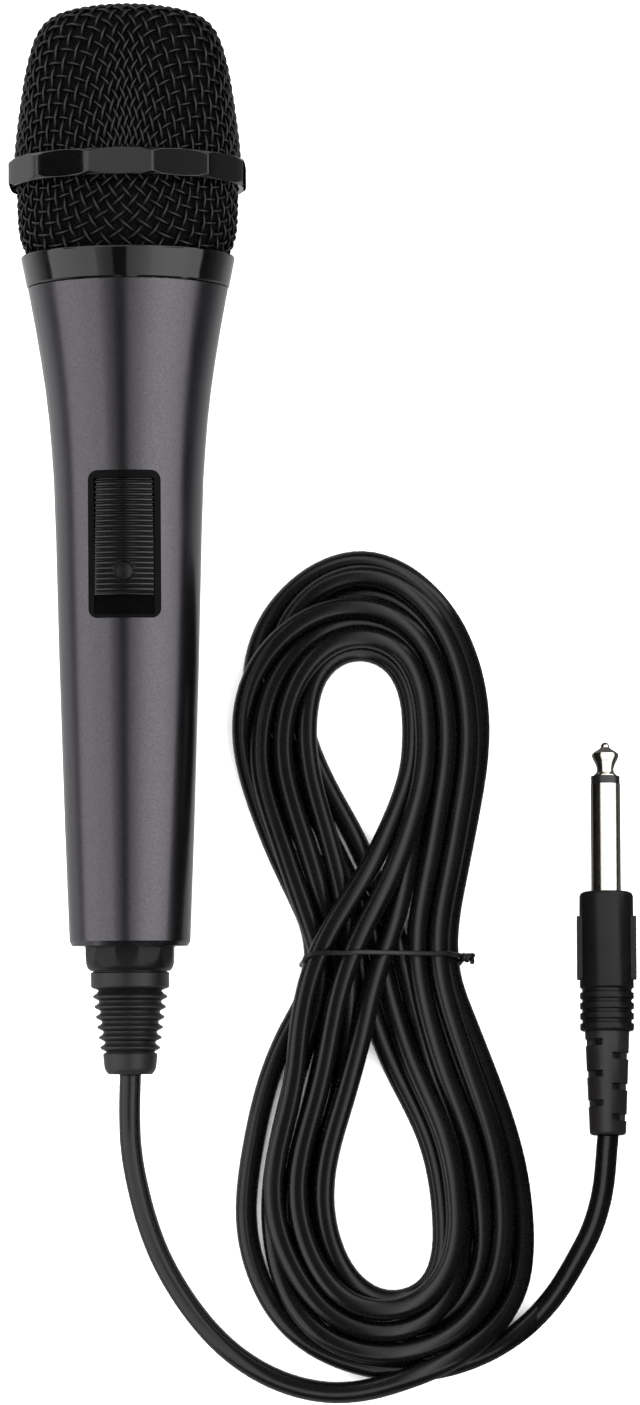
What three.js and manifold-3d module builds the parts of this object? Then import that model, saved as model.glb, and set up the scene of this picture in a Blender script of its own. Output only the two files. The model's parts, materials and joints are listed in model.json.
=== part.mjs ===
// Wired dynamic microphone lying on a surface, with its cord coiled, tied and ending in a phone plug.
// Millimetres, +Z up. The head points along +Y and the on/off switch faces up.
// Pieces of the microphone are drawn along its own axis: w = 0 is the tail rim of the body and
// w grows towards the head. In that frame -Y is the side that faces up when it lies down.
import * as THREE from 'three';
import { mergeVertices } from 'three/addons/utils/BufferGeometryUtils.js';
import Module from 'manifold-3d';

const wasm = await Module();
wasm.setup();

// ---- driving dimensions ----
const REST_TILT = THREE.MathUtils.degToRad(4.335); // head up: ring facet and tail rim both touch
const AXIS_HEIGHT = 12.837; // height of the axis at w = 0
const TAIL_Y = -87.2; // world Y of w = 0, so that the microphone is centred on the origin

const OUTER_SEGMENTS = 36;
const INNER_SEGMENTS = 24;
const SMALL_SEGMENTS = 20;

const BODY_WALL = 1.6;
const BODY_PROFILE = [ // [radius, w] of the tapered handle, tail to mouth
  [12.4, 0], [12.95, 1.0], [13.9, 26], [15.0, 61], [15.65, 87], [16.1, 100], [16.53, 106.4],
  [17.07, 112.8], [17.82, 119.3], [18.79, 125.8], [19.87, 132.3], [21.5, 141.0],
];
const BODY_END_BORE = 9.85;
const BODY_END_LIP = 1.8;

const MESH_WALL = 0.8; // woven wire and its crimps, as one skin
const RING_CORNER_R = 26.1;
const RING_FLAT_R = 25.2; // from the axis to a facet
const RING_FACETS = 12;
const RING_LOW = 162.6;
const RING_HIGH = 168.45;

const THREAD_R = 18.7;
const COLLAR_BORE_R = 18.8;
const COLLAR_LOW = 141.3;

const BEZEL_LOW = 69.5;
const BEZEL_HIGH = 100.7;
const BEZEL_WIDTH = 15.3;
const BEZEL_CORNER = 1.9;
const BEZEL_PROUD = 0.45;
const BEZEL_UNDERSIDE = 11.4; // distances below are from the axis, towards the switch side
const TRAY_FLOOR = 13.4;
const WINDOW_LOW = 70.15;
const WINDOW_HIGH = 99.1;
const WINDOW_WIDTH = 12.9;
const FIT_GAP = 0.1;

const SLIDER_LOW = 74.3;
const SLIDER_HIGH = 98.95;
const SLIDER_WIDTH = 12.6;
const SLIDER_CREST_R = 13.0; // radius of its convex back
const SLIDER_TOP = 16.75;
const SLIDER_BOTTOM = 13.55;
const SLIDER_RIBS = 22;
const SLIDER_RIB_DEPTH = 0.4;
const SLIDER_TRAVEL = 4.0;
const DIMPLE_W = 79.3;
const ACTUATOR_W = 87;

const SWITCH_SCREWS_W = [72.7, 98.3];

const CORD_R = 2.3;
const JOIN_GAP = 0.3;
const BOOT_END = -27.4;

const PLUG_X = 101.85;
const PLUG_SHOULDER_Y = -75.5;
const PLUG_AXIS_Z = 5.8;
const PLUG_BARREL_R = 3.175; // 6.35 mm phone plug
const PLUG_LENGTH = 31.8; // shoulder to tip
const PLUG_HANDLE_R = 5.78;
const PLUG_HANDLE_LENGTH = 29.8;
const PLUG_BOOT_END = -52.1;

const HANK_HEIGHT = 12;
const TIE_Y = -89.6;
const TIE_WIRE = 1.1;

// ---- materials ----
const material = (color, roughness, metalness = 0) =>
  new THREE.MeshStandardMaterial({ color, roughness, metalness });
const LOOK = {
  body_paint: material(0x5a595e, 0.38, 0.55),
  black_gloss: material(0x0b0b0d, 0.08, 0.1),
  mesh_wire: material(0x1e1e21, 0.35, 0.6),
  black_foam: material(0x0a0a0b, 0.95),
  black_plastic: material(0x131315, 0.35),
  black_rubber: material(0x1b1b1e, 0.5),
  cord_jacket: material(0x202024, 0.42),
  tie_plastic: material(0x0f0f11, 0.45),
  grey_plastic: material(0x3a3a3d, 0.5),
  steel: material(0xb9babd, 0.3, 1),
  nickel: material(0xd9d7d0, 0.14, 1),
  zinc: material(0x9a9b9e, 0.4, 1),
  magnet: material(0x7d7e82, 0.25, 1),
  copper: material(0xb06a3a, 0.35, 1),
  clear_film: material(0xc9c3b4, 0.2),
  felt: material(0x2b2b2b, 0.95),
  board: material(0x2c5a33, 0.55),
  wire_red: material(0xa32522, 0.45),
  wire_white: material(0xd6d4cc, 0.45),
  insulator: material(0x101011, 0.4),
};

// ---- helpers ----
function weld(geometry) {
  const bare = geometry.clone();
  bare.deleteAttribute('normal');
  bare.deleteAttribute('uv');
  const welded = mergeVertices(bare, 1e-4);
  const source = welded.index.array;
  const kept = [];
  for (let i = 0; i < source.length; i += 3) {
    const [a, b, c] = [source[i], source[i + 1], source[i + 2]];
    if (a !== b && b !== c && c !== a) kept.push(a, b, c);
  }
  welded.setIndex(kept);
  if (signedVolume(welded) < 0) {
    for (let i = 0; i < kept.length; i += 3) [kept[i], kept[i + 1]] = [kept[i + 1], kept[i]];
    welded.setIndex(kept);
  }
  return welded;
}

function signedVolume(geometry) {
  const position = geometry.attributes.position;
  const index = geometry.index.array;
  const [a, b, c] = [new THREE.Vector3(), new THREE.Vector3(), new THREE.Vector3()];
  let total = 0;
  for (let i = 0; i < index.length; i += 3) {
    a.fromBufferAttribute(position, index[i]);
    b.fromBufferAttribute(position, index[i + 1]);
    c.fromBufferAttribute(position, index[i + 2]);
    total += a.dot(b.cross(c)) / 6;
  }
  return total;
}

function toManifold(geometry) {
  const welded = weld(geometry);
  return new wasm.Manifold(new wasm.Mesh({
    numProp: 3,
    vertProperties: Float32Array.from(welded.attributes.position.array),
    triVerts: Uint32Array.from(welded.index.array),
  }));
}

function toGeometry(manifold) {
  const mesh = manifold.getMesh();
  const geometry = new THREE.BufferGeometry();
  geometry.setAttribute('position', new THREE.BufferAttribute(Float32Array.from(mesh.vertProperties), 3));
  geometry.setIndex(Array.from(mesh.triVerts));
  return geometry;
}

const cut = (geometry, ...tools) =>
  toGeometry(tools.reduce((left, tool) => left.subtract(toManifold(tool)), toManifold(geometry)));
const join = (geometry, ...others) =>
  toGeometry(others.reduce((left, other) => left.add(toManifold(other)), toManifold(geometry)));
const common = (first, second) => toGeometry(toManifold(first).intersect(toManifold(second)));

// A turned piece about Z from [radius, height] points. It closes on the axis or on itself.
function turned(profile, segments = INNER_SEGMENTS) {
  const points = profile.map(([r, w]) => new THREE.Vector2(r, w));
  const onAxis = profile[0][0] === 0 && profile[profile.length - 1][0] === 0;
  if (!onAxis) points.push(points[0].clone());
  return new THREE.LatheGeometry(points, segments).rotateX(Math.PI / 2);
}

const disc = (radius, low, high, segments) =>
  turned([[0, low], [radius, low], [radius, high], [0, high]], segments);
const tube = (inner, outer, low, high, segments) =>
  turned([[inner, low], [outer, low], [outer, high], [inner, high]], segments);

function roundedRectangle(width, low, high, corner) {
  const half = width / 2;
  const shape = new THREE.Shape();
  shape.moveTo(-half + corner, low);
  shape.lineTo(half - corner, low);
  shape.absarc(half - corner, low + corner, corner, -Math.PI / 2, 0);
  shape.lineTo(half, high - corner);
  shape.absarc(half - corner, high - corner, corner, 0, Math.PI / 2);
  shape.lineTo(-half + corner, high);
  shape.absarc(-half + corner, high - corner, corner, Math.PI / 2, Math.PI);
  shape.lineTo(-half, low + corner);
  shape.absarc(-half + corner, low + corner, corner, Math.PI, 1.5 * Math.PI);
  return shape;
}

// A prism on the switch side: outline in (x, w), from one distance off the axis to another.
function switchPrism(shape, near, far) {
  const prism = new THREE.ExtrudeGeometry(shape, { depth: far - near, bevelEnabled: false, curveSegments: 4 });
  return prism.rotateX(Math.PI / 2).translate(0, -near, 0);
}

function switchBox(width, low, high, near, far) {
  return new THREE.BoxGeometry(width, far - near, high - low)
    .translate(0, -(near + far) / 2, (low + high) / 2);
}

// A cylinder whose axis points away from the microphone's axis on the switch side.
function switchPeg(radius, w, near, far) {
  return new THREE.CylinderGeometry(radius, radius, far - near, 16).translate(0, -(near + far) / 2, w);
}

function sweep(points, radius, sides, steps) {
  const path = new THREE.CatmullRomCurve3(points.map((p) => new THREE.Vector3(...p)), false, 'centripetal');
  const circle = new THREE.Shape();
  for (let i = 0; i <= sides; i++) {
    const angle = (2 * Math.PI * i) / sides;
    const [x, y] = [radius * Math.cos(angle), radius * Math.sin(angle)];
    if (i === 0) circle.moveTo(x, y);
    else if (i < sides) circle.lineTo(x, y);
  }
  return new THREE.ExtrudeGeometry(circle, { steps, extrudePath: path, bevelEnabled: false });
}

function piece(group, name, geometry, look) {
  const solid = weld(geometry);
  solid.computeVertexNormals();
  const mesh = new THREE.Mesh(solid, LOOK[look]);
  mesh.name = name;
  group.add(mesh);
}

const bodyOffset = (offset) => BODY_PROFILE.map(([r, w]) => [r + offset, w]);

// ---- the microphone, along its own axis ----
const part = new THREE.Group();
part.name = 'dynamic_microphone';

const microphone = new THREE.Group();
microphone.name = 'microphone';
microphone.position.set(0, TAIL_Y, AXIS_HEIGHT);
microphone.rotation.x = -(Math.PI / 2 - REST_TILT);
part.add(microphone);

function buildBody() {
  const outer = BODY_PROFILE;
  const inner = [
    [19.9, 141.0], [18.27, 132.3], [16.22, 119.3], [14.93, 106.4], [13.4, 61],
    [11.4, BODY_END_LIP], [BODY_END_BORE, BODY_END_LIP], [BODY_END_BORE, 0],
  ];
  const opening = roundedRectangle(
    BEZEL_WIDTH + 2 * FIT_GAP, BEZEL_LOW - FIT_GAP, BEZEL_HIGH + FIT_GAP, BEZEL_CORNER + FIT_GAP);
  const shell = cut(turned([...outer, ...inner], OUTER_SEGMENTS), switchPrism(opening, 5, 25));
  piece(microphone, 'body_shell', shell, 'body_paint');

  piece(microphone, 'neck_insert', turned([
    [14.0, 133.5], [18.37, 133.5], [19.72, 140.9], [THREAD_R, 141.1], [THREAD_R, 147.2],
    [15.6, 147.2], [15.6, 135.5], [14.0, 135.5],
  ]), 'zinc');
}

function buildHead() {
  const flats = new THREE.CylinderGeometry(1, 1, 40, RING_FACETS)
    .rotateX(Math.PI / 2)
    .rotateZ(Math.PI / RING_FACETS)
    .scale(RING_FLAT_R / Math.cos(Math.PI / RING_FACETS), RING_FLAT_R / Math.cos(Math.PI / RING_FACETS), 1)
    .translate(0, 0, RING_LOW);
  const ring = turned([
    [24.0, RING_LOW], [25.3, RING_LOW], [RING_CORNER_R, RING_LOW + 0.75],
    [RING_CORNER_R, RING_HIGH - 0.75], [25.3, RING_HIGH], [24.55, RING_HIGH],
    [24.55, 165.6], [24.0, 165.6],
  ], OUTER_SEGMENTS);
  piece(microphone, 'grille_ring', common(ring, flats), 'black_gloss');

  piece(microphone, 'grille_collar', turned([
    [COLLAR_BORE_R, COLLAR_LOW], [21.5, COLLAR_LOW], [21.75, 141.6], [22.2, 143.8], [22.9, 147.2],
    [22.75, 147.9], [22.15, 148.0], [22.15, 146.1], [COLLAR_BORE_R, 146.1],
  ], OUTER_SEGMENTS), 'black_gloss');

  const skirt = [
    [21.9, 146.4], [22.0, 148.1], [22.95, 150.2], [23.45, 152.8], [23.75, 156], [23.87, 160], [23.87, 165.2],
  ];
  const skirtInside = skirt.map(([r, w]) => [r - MESH_WALL, w]).reverse();
  piece(microphone, 'grille_skirt', turned([...skirt, ...skirtInside], OUTER_SEGMENTS), 'mesh_wire');

  piece(microphone, 'grille_dome', turned([
    [0, 201.4], [7.8, 201.0], [12.6, 200.1], [15.6, 199.0], [17.7, 197.4], [19.35, 194.6],
    [21.15, 188.3], [23.1, 175.4], [23.62, 166.0], [24.42, 166.0], [24.42, 170], [23.9, 175.5],
    [23.03, 182], [21.95, 188.5], [20.14, 195], [18.4, 198.0], [16.2, 199.8], [13.0, 200.9],
    [8.0, 201.8], [0, 202.2],
  ], OUTER_SEGMENTS), 'mesh_wire');

  piece(microphone, 'mesh_joint_band', tube(22.2, 22.95, 162.0, 169.5), 'steel');

  piece(microphone, 'foam_liner', turned([
    [0, 195.5], [9, 194.5], [14, 191], [18.2, 175], [18.2, 149.5], [20.6, 149.5], [21.6, 154],
    [21.8, 170], [22.0, 176], [20.4, 188.5], [18.6, 194.2], [14.8, 198.3], [9, 200.2], [0, 200.8],
  ]), 'black_foam');
}

function buildCapsule() {
  piece(microphone, 'shock_mount', turned([
    [12.2, 135.7], [15.4, 135.7], [15.4, 139.5], [14.6, 140.2], [14.6, 142.0], [15.4, 142.7],
    [15.4, 146.2], [12.2, 146.2],
  ]), 'black_rubber');
  piece(microphone, 'capsule_housing', turned([
    [2, 136.5], [12, 136.5], [12, 146.5], [16.5, 147.4], [16.5, 157.8], [15.7, 157.8],
    [15.7, 149.0], [11.2, 149.0], [11.2, 138.2], [2, 138.2],
  ]), 'black_plastic');
  piece(microphone, 'pole_yoke', turned([
    [0, 138.5], [11, 138.5], [11, 147.5], [9.7, 147.5], [9.7, 140.3], [0, 140.3],
  ]), 'steel');
  piece(microphone, 'magnet', disc(7.6, 140.4, 145.2), 'magnet');
  piece(microphone, 'pole_plate', disc(8.35, 145.3, 147.5), 'steel');
  piece(microphone, 'voice_coil', tube(8.8, 9.25, 144.6, 149.4), 'copper');
  piece(microphone, 'diaphragm', turned([
    [0, 151.5], [5, 150.8], [8.7, 149.5], [9.4, 149.5], [12.2, 150.3], [15.2, 149.6],
    [15.2, 149.9], [12.2, 150.6], [9.4, 149.8], [8.8, 149.8], [5.1, 151.1], [0, 151.8],
  ]), 'clear_film');
  piece(microphone, 'acoustic_felt', disc(15.4, 153.6, 155.4), 'felt');

  const cap = new THREE.Shape();
  cap.absarc(0, 0, 15.5, 0, 2 * Math.PI);
  const holes = [[0, 0]];
  for (let i = 0; i < 6; i++) {
    holes.push([9 * Math.cos((i * Math.PI) / 3), 9 * Math.sin((i * Math.PI) / 3)]);
  }
  for (const [x, y] of holes) {
    const hole = new THREE.Path();
    hole.absarc(x, y, 1.8, 0, 2 * Math.PI, true);
    cap.holes.push(hole);
  }
  const plate = new THREE.ExtrudeGeometry(cap, { depth: 1.8, bevelEnabled: false, curveSegments: 8 });
  piece(microphone, 'capsule_front_cap', plate.translate(0, 0, 155.6), 'black_plastic');

  piece(microphone, 'terminal_board', disc(9, 134.0, 135.2, SMALL_SEGMENTS), 'board');
  piece(microphone, 'lead_hot', sweep(
    [[2.5, 0, 133.7], [3.2, -0.6, 125], [2.6, -2.0, 110], [1.4, -3.4, 98], [0, -3.6, 91.2]],
    0.6, 8, 12), 'wire_red');
  piece(microphone, 'lead_ground', sweep(
    [[-2.5, 0, 133.7], [-3.4, -0.4, 125], [-3.0, -1.4, 108], [-2.0, -3.0, 94], [0, -3.6, 85.7]],
    0.6, 8, 14), 'wire_white');
}

function buildSwitch() {
  const outline = roundedRectangle(BEZEL_WIDTH, BEZEL_LOW, BEZEL_HIGH, BEZEL_CORNER);
  const skin = turned([[0, 0], ...bodyOffset(BEZEL_PROUD), [0, 141.0]], OUTER_SEGMENTS);
  const block = common(switchPrism(outline, BEZEL_UNDERSIDE, 25), skin);
  const window = roundedRectangle(WINDOW_WIDTH, WINDOW_LOW, WINDOW_HIGH, 0.25);
  const slot = switchBox(3.4, ACTUATOR_W - 2.2 - SLIDER_TRAVEL, ACTUATOR_W + 2.2, 10, 14);
  const pilots = SWITCH_SCREWS_W.map((w) => switchPeg(1.05, w, 11, 13.1));
  piece(microphone, 'switch_bezel',
    cut(block, switchPrism(window, TRAY_FLOOR, 25), slot, ...pilots), 'black_plastic');

  // The slider: a convex back with raised ribs across it and a thumb dimple.
  const half = SLIDER_WIDTH / 2;
  const section = (top) => {
    const shape = new THREE.Shape();
    const centre = top - SLIDER_CREST_R;
    const reach = Math.asin(half / SLIDER_CREST_R);
    const arcSteps = 4;
    shape.moveTo(-half, -SLIDER_BOTTOM);
    shape.lineTo(half, -SLIDER_BOTTOM);
    for (let i = 0; i <= arcSteps; i++) {
      const angle = reach - (2 * reach * i) / arcSteps;
      shape.lineTo(SLIDER_CREST_R * Math.sin(angle), -(centre + SLIDER_CREST_R * Math.cos(angle)));
    }
    return shape;
  };
  const bar = (top, low, high) => new THREE.ExtrudeGeometry(
    section(top), { depth: high - low, bevelEnabled: false }).translate(0, 0, low);
  const pitch = (SLIDER_HIGH - SLIDER_LOW) / (SLIDER_RIBS + 0.5);
  const ribs = [];
  for (let i = 0; i <= SLIDER_RIBS; i++) {
    const low = SLIDER_LOW + i * pitch;
    ribs.push(bar(SLIDER_TOP, low, low + pitch / 2));
  }
  const core = bar(SLIDER_TOP - SLIDER_RIB_DEPTH, SLIDER_LOW, SLIDER_HIGH);
  const dimple = new THREE.SphereGeometry(3.8, 14, 10).translate(0, -(SLIDER_TOP + 3.0), DIMPLE_W);
  const pad = new THREE.CylinderGeometry(2.5, 2.5, 1.6, 16).translate(0, -(SLIDER_TOP - 0.95), DIMPLE_W);
  piece(microphone, 'switch_slider', cut(join(core, ...ribs, pad), dimple), 'black_plastic');

  const [stemLow, stemHigh] = [ACTUATOR_W - 2, ACTUATOR_W + 2];
  piece(microphone, 'switch_actuator', switchBox(3, stemLow, stemHigh, 8.5, 13.5), 'grey_plastic');
  piece(microphone, 'switch_contact', switchBox(4.4, stemLow - 2, stemHigh + 2, 7.2, 8.4), 'copper');

  const can = switchBox(8, 75.5, 95.5, 5.7, 10.8);
  const frame = switchBox(8, 70.5, 100.4, 10.7, 11.3);
  const hollow = switchBox(6, 77, 94, 6.5, 10.1);
  const mouth = switchBox(3.4, ACTUATOR_W - 2.2 - SLIDER_TRAVEL, ACTUATOR_W + 2.2, 9, 12);
  const holes = SWITCH_SCREWS_W.map((w) => switchPeg(1.1, w, 10, 12));
  const pins = [80.2, 85.7, 91.2].map((w) => switchBox(0.8, w - 0.4, w + 0.4, 4.5, 6.0));
  piece(microphone, 'switch_housing', cut(join(can, frame, ...pins), hollow, mouth, ...holes), 'steel');

  const names = ['switch_screw_lower', 'switch_screw_upper'];
  SWITCH_SCREWS_W.forEach((w, i) => {
    const screw = join(switchPeg(0.95, w, 10, 13.0), switchPeg(1.7, w, 9.5, 10.65));
    const drive = switchBox(0.4, w - 1.3, w + 1.3, 9, 9.9);
    piece(microphone, names[i], cut(screw, drive), 'steel');
  });
}

function buildTail() {
  piece(microphone, 'tail_cap', turned([
    [5.2, -5.3], [8.8, -5.3], [9.3, -4.1], [9.6, -0.6], [9.7, 0.2], [9.7, 2.0], [11.1, 2.1],
    [11.1, 4.5], [5.2, 4.5],
  ]), 'black_plastic');

  const ribCount = 6;
  const ribPitch = 2.18;
  const outside = [[2.45, BOOT_END], [5.0, BOOT_END], [5.3, -23.0]];
  for (let i = ribCount - 1; i >= 0; i--) {
    const centre = -10.7 - i * ribPitch;
    const ribR = 7.65 - 0.31 * i;
    const grooveR = 6.6 - 0.25 * i;
    outside.push([grooveR, centre - 0.7], [ribR, centre - 0.5], [ribR, centre + 0.5]);
  }
  piece(microphone, 'cord_boot', turned([
    ...outside, [6.7, -9.8], [8.0, -9.0], [8.0, -5.7], [5.0, -5.7], [5.0, 4.7], [7.0, 4.7], [7.0, 6.2], [2.45, 6.2],
  ], SMALL_SEGMENTS), 'black_rubber');

  piece(microphone, 'inner_cord', disc(CORD_R, BOOT_END + JOIN_GAP, 68, 12), 'cord_jacket');
  piece(microphone, 'cord_clamp', tube(2.4, 5.6, 8, 11.5, SMALL_SEGMENTS), 'grey_plastic');
}

// ---- the plug, along +Y from its shoulder ----
function buildPlug() {
  const plug = new THREE.Group();
  plug.name = 'plug';
  plug.position.set(PLUG_X, PLUG_SHOULDER_Y, PLUG_AXIS_Z);
  plug.rotation.x = -Math.PI / 2; // the plug's own +Z is the world's +Y
  part.add(plug);

  piece(plug, 'plug_tip', turned([
    [0, -8], [1.2, -8], [1.2, 25.1], [2.3, 25.1], [1.9, 26.3], [2.9, 29.4], [2.85, 30.1],
    [1.9, 31.2], [0.9, PLUG_LENGTH], [0, PLUG_LENGTH],
  ], SMALL_SEGMENTS), 'nickel');
  piece(plug, 'plug_insulator', turned([
    [1.3, -6], [2.3, -6], [2.3, 23.4], [3.1, 23.4], [3.1, 25.0], [1.3, 25.0],
  ], SMALL_SEGMENTS), 'insulator');
  piece(plug, 'plug_sleeve', turned([
    [2.4, -5.2], [4.4, -5.2], [4.4, -3.3], [PLUG_BARREL_R, -3.3], [PLUG_BARREL_R, 23.3], [2.4, 23.3],
  ], INNER_SEGMENTS), 'nickel');

  const grip = [[4.6, -PLUG_HANDLE_LENGTH], [5.6, -PLUG_HANDLE_LENGTH]];
  const ridgeCount = 4;
  for (let i = 0; i < ridgeCount; i++) {
    const low = -PLUG_HANDLE_LENGTH + 0.3 + i * 2.2;
    grip.push([PLUG_HANDLE_R, low], [PLUG_HANDLE_R, low + 1.2], [5.3, low + 1.35], [5.3, low + 2.0]);
  }
  const barrel = turned([
    ...grip, [PLUG_HANDLE_R, -20.5], [PLUG_HANDLE_R, -0.9], [5.5, -0.25], [4.9, 0],
    [3.3, 0], [3.3, -3.0], [4.6, -3.0],
  ], INNER_SEGMENTS);
  const wing = (side) => new THREE.BoxGeometry(1.4, 5.0, 13.4)
    .translate(side * (PLUG_HANDLE_R - 0.1), 0, -12.0);
  piece(plug, 'plug_handle', join(barrel, wing(1), wing(-1)), 'black_plastic');

  const boot = turned([
    [2.45, PLUG_BOOT_END], [3.7, PLUG_BOOT_END], [4.4, -30.0], [4.4, -23], [2.45, -23],
  ], SMALL_SEGMENTS);
  const slots = [];
  for (let i = 0; i < 7; i++) {
    const side = i % 2 === 0 ? -1 : 1;
    slots.push(new THREE.BoxGeometry(3.0, 9.2, 1.9).translate(side * 4.6, 0, -32.2 - i * 2.85));
  }
  piece(plug, 'plug_boot', cut(boot, ...slots), 'black_rubber');
  piece(plug, 'plug_tip_lug', new THREE.BoxGeometry(2.2, 0.5, 6).translate(0, 0, -11.2), 'nickel');
  piece(plug, 'plug_sleeve_lug', new THREE.BoxGeometry(2.6, 0.5, 13).translate(0, 3.4, -12.0), 'nickel');
  piece(plug, 'plug_inner_cord', disc(CORD_R, PLUG_BOOT_END + JOIN_GAP, -19, 12), 'cord_jacket');
}

// ---- the cord: two leads on the surface, the tied hank between them ----
function buildCord() {
  const exitY = TAIL_Y + (BOOT_END - JOIN_GAP) * Math.cos(REST_TILT);
  const exitZ = AXIS_HEIGHT + (BOOT_END - JOIN_GAP) * Math.sin(REST_TILT);
  const dropPerMm = Math.tan(REST_TILT);
  piece(part, 'cord_lead_mic', sweep([
    [0, exitY, exitZ], [0, exitY - 5, exitZ - 5 * dropPerMm], [-0.3, -125, 9.3], [0.2, -132, 7.3],
    [1.5, -139.2, 5.2], [3.2, -146, 3.5], [5.6, -152.3, 2.6], [9.8, -159.9, CORD_R],
    [16.5, -168.9, CORD_R], [23.6, -175.1, CORD_R], [30.7, -178.9, CORD_R], [37, -180.8, CORD_R],
    [42.1, -181.2, CORD_R],
  ], CORD_R, 10, 16), 'cord_jacket');

  piece(part, 'cord_lead_plug', sweep([
    [PLUG_X, PLUG_SHOULDER_Y + PLUG_BOOT_END - JOIN_GAP, PLUG_AXIS_Z],
    [PLUG_X, -132.5, 5.3], [101, -137.5, 4.2], [99.3, -144.9, 2.9], [95.9, -152.3, CORD_R],
    [90.5, -160.6, CORD_R], [83.8, -167.2, CORD_R], [76.26, -171.75, CORD_R],
  ], CORD_R, 10, 12), 'cord_jacket');

  const hank = new THREE.Shape();
  hank.moveTo(42.4, -175.6);
  hank.splineThru([
    [33.9, -168.8], [26.4, -158.2], [23.2, -145.4], [23.2, -132.6], [25.3, -121.9],
    [29.6, -108.0], [33.9, -98.4], [36.7, -89.6], [34.0, -76.8], [29.2, -66.0], [25.8, -55.2],
    [23.2, -40.2], [24.7, -30.2], [28.0, -20.4], [33.0, -11.3], [40.5, -4.3], [50.3, -1.8],
    [60.0, -4.5], [67.1, -11.1], [72.5, -20.7], [75.5, -30.5], [76.3, -39.2], [75.4, -49.0],
    [73.6, -61.9], [71.4, -74.9], [70.2, -89.6], [74.6, -105.0], [79.9, -122.2], [82.4, -137.1],
    [82.5, -149.9], [79.7, -162.0], [74.5, -169.2],
  ].map((p) => new THREE.Vector2(...p)));
  hank.lineTo(77.5, -174.25);
  hank.splineThru([[66.5, -178.4], [54, -182.2], [42.4, -183.9]].map((p) => new THREE.Vector2(...p)));
  hank.closePath();
  const hole = (points) => {
    const corners = points.map((p) => new THREE.Vector2(...p));
    // the outline runs clockwise, so its holes run the other way
    const [first, ...rest] = THREE.ShapeUtils.isClockWise(corners) ? corners.toReversed() : corners;
    const path = new THREE.Path();
    path.moveTo(first.x, first.y);
    path.splineThru(rest);
    path.closePath();
    return path;
  };
  hank.holes.push(hole([
    [52.3, -68.7], [46.9, -59.6], [42.6, -46.6], [41.6, -35.7], [43.1, -28.1], [47.0, -25.8],
    [52.4, -26.7], [57.3, -31.9], [60.3, -40.2], [60.9, -46.7], [59.8, -55.4], [56.6, -62.9],
  ]));
  hank.holes.push(hole([
    [51.3, -105.5], [48.3, -113.5], [44.6, -124.2], [42.7, -134.8], [42.4, -143.4], [44.1, -151.9],
    [48.8, -158.3], [56.3, -160.8], [62.7, -159.4], [65.5, -153.0], [66.3, -144.5], [66.2, -136.0],
    [63.9, -127.4], [59.2, -117.8],
  ]));
  const coil = new THREE.ExtrudeGeometry(hank, { depth: HANK_HEIGHT, bevelEnabled: false, curveSegments: 2 });
  const channel = new THREE.BoxGeometry(60, TIE_WIRE + 2 * JOIN_GAP, 3).translate(53, TIE_Y, 0);
  piece(part, 'cord_hank', cut(coil, channel), 'cord_jacket');

  const [left, right] = [36.3, 70.7];
  const tie = new THREE.Shape();
  tie.moveTo(left - TIE_WIRE, 0.1);
  tie.lineTo(right + TIE_WIRE, 0.1);
  tie.lineTo(right + TIE_WIRE, HANK_HEIGHT + JOIN_GAP + TIE_WIRE);
  tie.lineTo(left - TIE_WIRE, HANK_HEIGHT + JOIN_GAP + TIE_WIRE);
  tie.closePath();
  const inside = new THREE.Path();
  inside.moveTo(left, 0.1 + TIE_WIRE);
  inside.lineTo(left, HANK_HEIGHT + JOIN_GAP);
  inside.lineTo(right, HANK_HEIGHT + JOIN_GAP);
  inside.lineTo(right, 0.1 + TIE_WIRE);
  inside.closePath();
  tie.holes.push(inside);
  const loop = new THREE.ExtrudeGeometry(tie, { depth: TIE_WIRE, bevelEnabled: false })
    .rotateX(Math.PI / 2)
    .translate(0, TIE_Y + TIE_WIRE / 2, 0);
  const twist = new THREE.CylinderGeometry(TIE_WIRE, TIE_WIRE, 4, 8).rotateZ(Math.PI / 2)
    .translate(right + TIE_WIRE + 1.6, TIE_Y, HANK_HEIGHT - 2);
  piece(part, 'cord_tie', join(loop, twist), 'tie_plastic');
}

buildBody();
buildHead();
buildCapsule();
buildSwitch();
buildTail();
buildPlug();
buildCord();

export default part;
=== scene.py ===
"""Looks of the handheld dynamic microphone and its coiled lead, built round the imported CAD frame."""
import json
import math

import bpy
import numpy as np
from mathutils import Matrix


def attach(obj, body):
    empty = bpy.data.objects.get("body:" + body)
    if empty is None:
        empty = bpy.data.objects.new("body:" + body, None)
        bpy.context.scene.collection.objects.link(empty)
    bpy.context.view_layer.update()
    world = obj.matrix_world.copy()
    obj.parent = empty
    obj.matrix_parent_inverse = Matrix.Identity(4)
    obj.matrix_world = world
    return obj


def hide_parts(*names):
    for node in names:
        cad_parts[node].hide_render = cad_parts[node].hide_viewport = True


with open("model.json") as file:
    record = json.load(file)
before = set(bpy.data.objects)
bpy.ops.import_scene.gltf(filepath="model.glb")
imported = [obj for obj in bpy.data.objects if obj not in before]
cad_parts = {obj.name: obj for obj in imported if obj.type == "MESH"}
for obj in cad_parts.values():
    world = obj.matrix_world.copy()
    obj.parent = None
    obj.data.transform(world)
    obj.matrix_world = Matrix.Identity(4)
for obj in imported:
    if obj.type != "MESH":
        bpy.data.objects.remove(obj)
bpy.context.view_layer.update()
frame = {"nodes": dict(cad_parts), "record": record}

MM = 0.001
NODES = frame["nodes"]

# ---------------- the microphone's own axes
AXIS_TILT = math.radians(4.335)
TAIL_POINT = np.array([0.0, -87.2, 12.837])
ALONG = np.array([0.0, math.cos(AXIS_TILT), math.sin(AXIS_TILT)])
ACROSS = np.array([1.0, 0.0, 0.0])
TOPWARD = np.cross(ACROSS, ALONG)


def unit(way):
    """The direction way at length 1."""
    return np.asarray(way, float) / np.linalg.norm(way)


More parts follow.
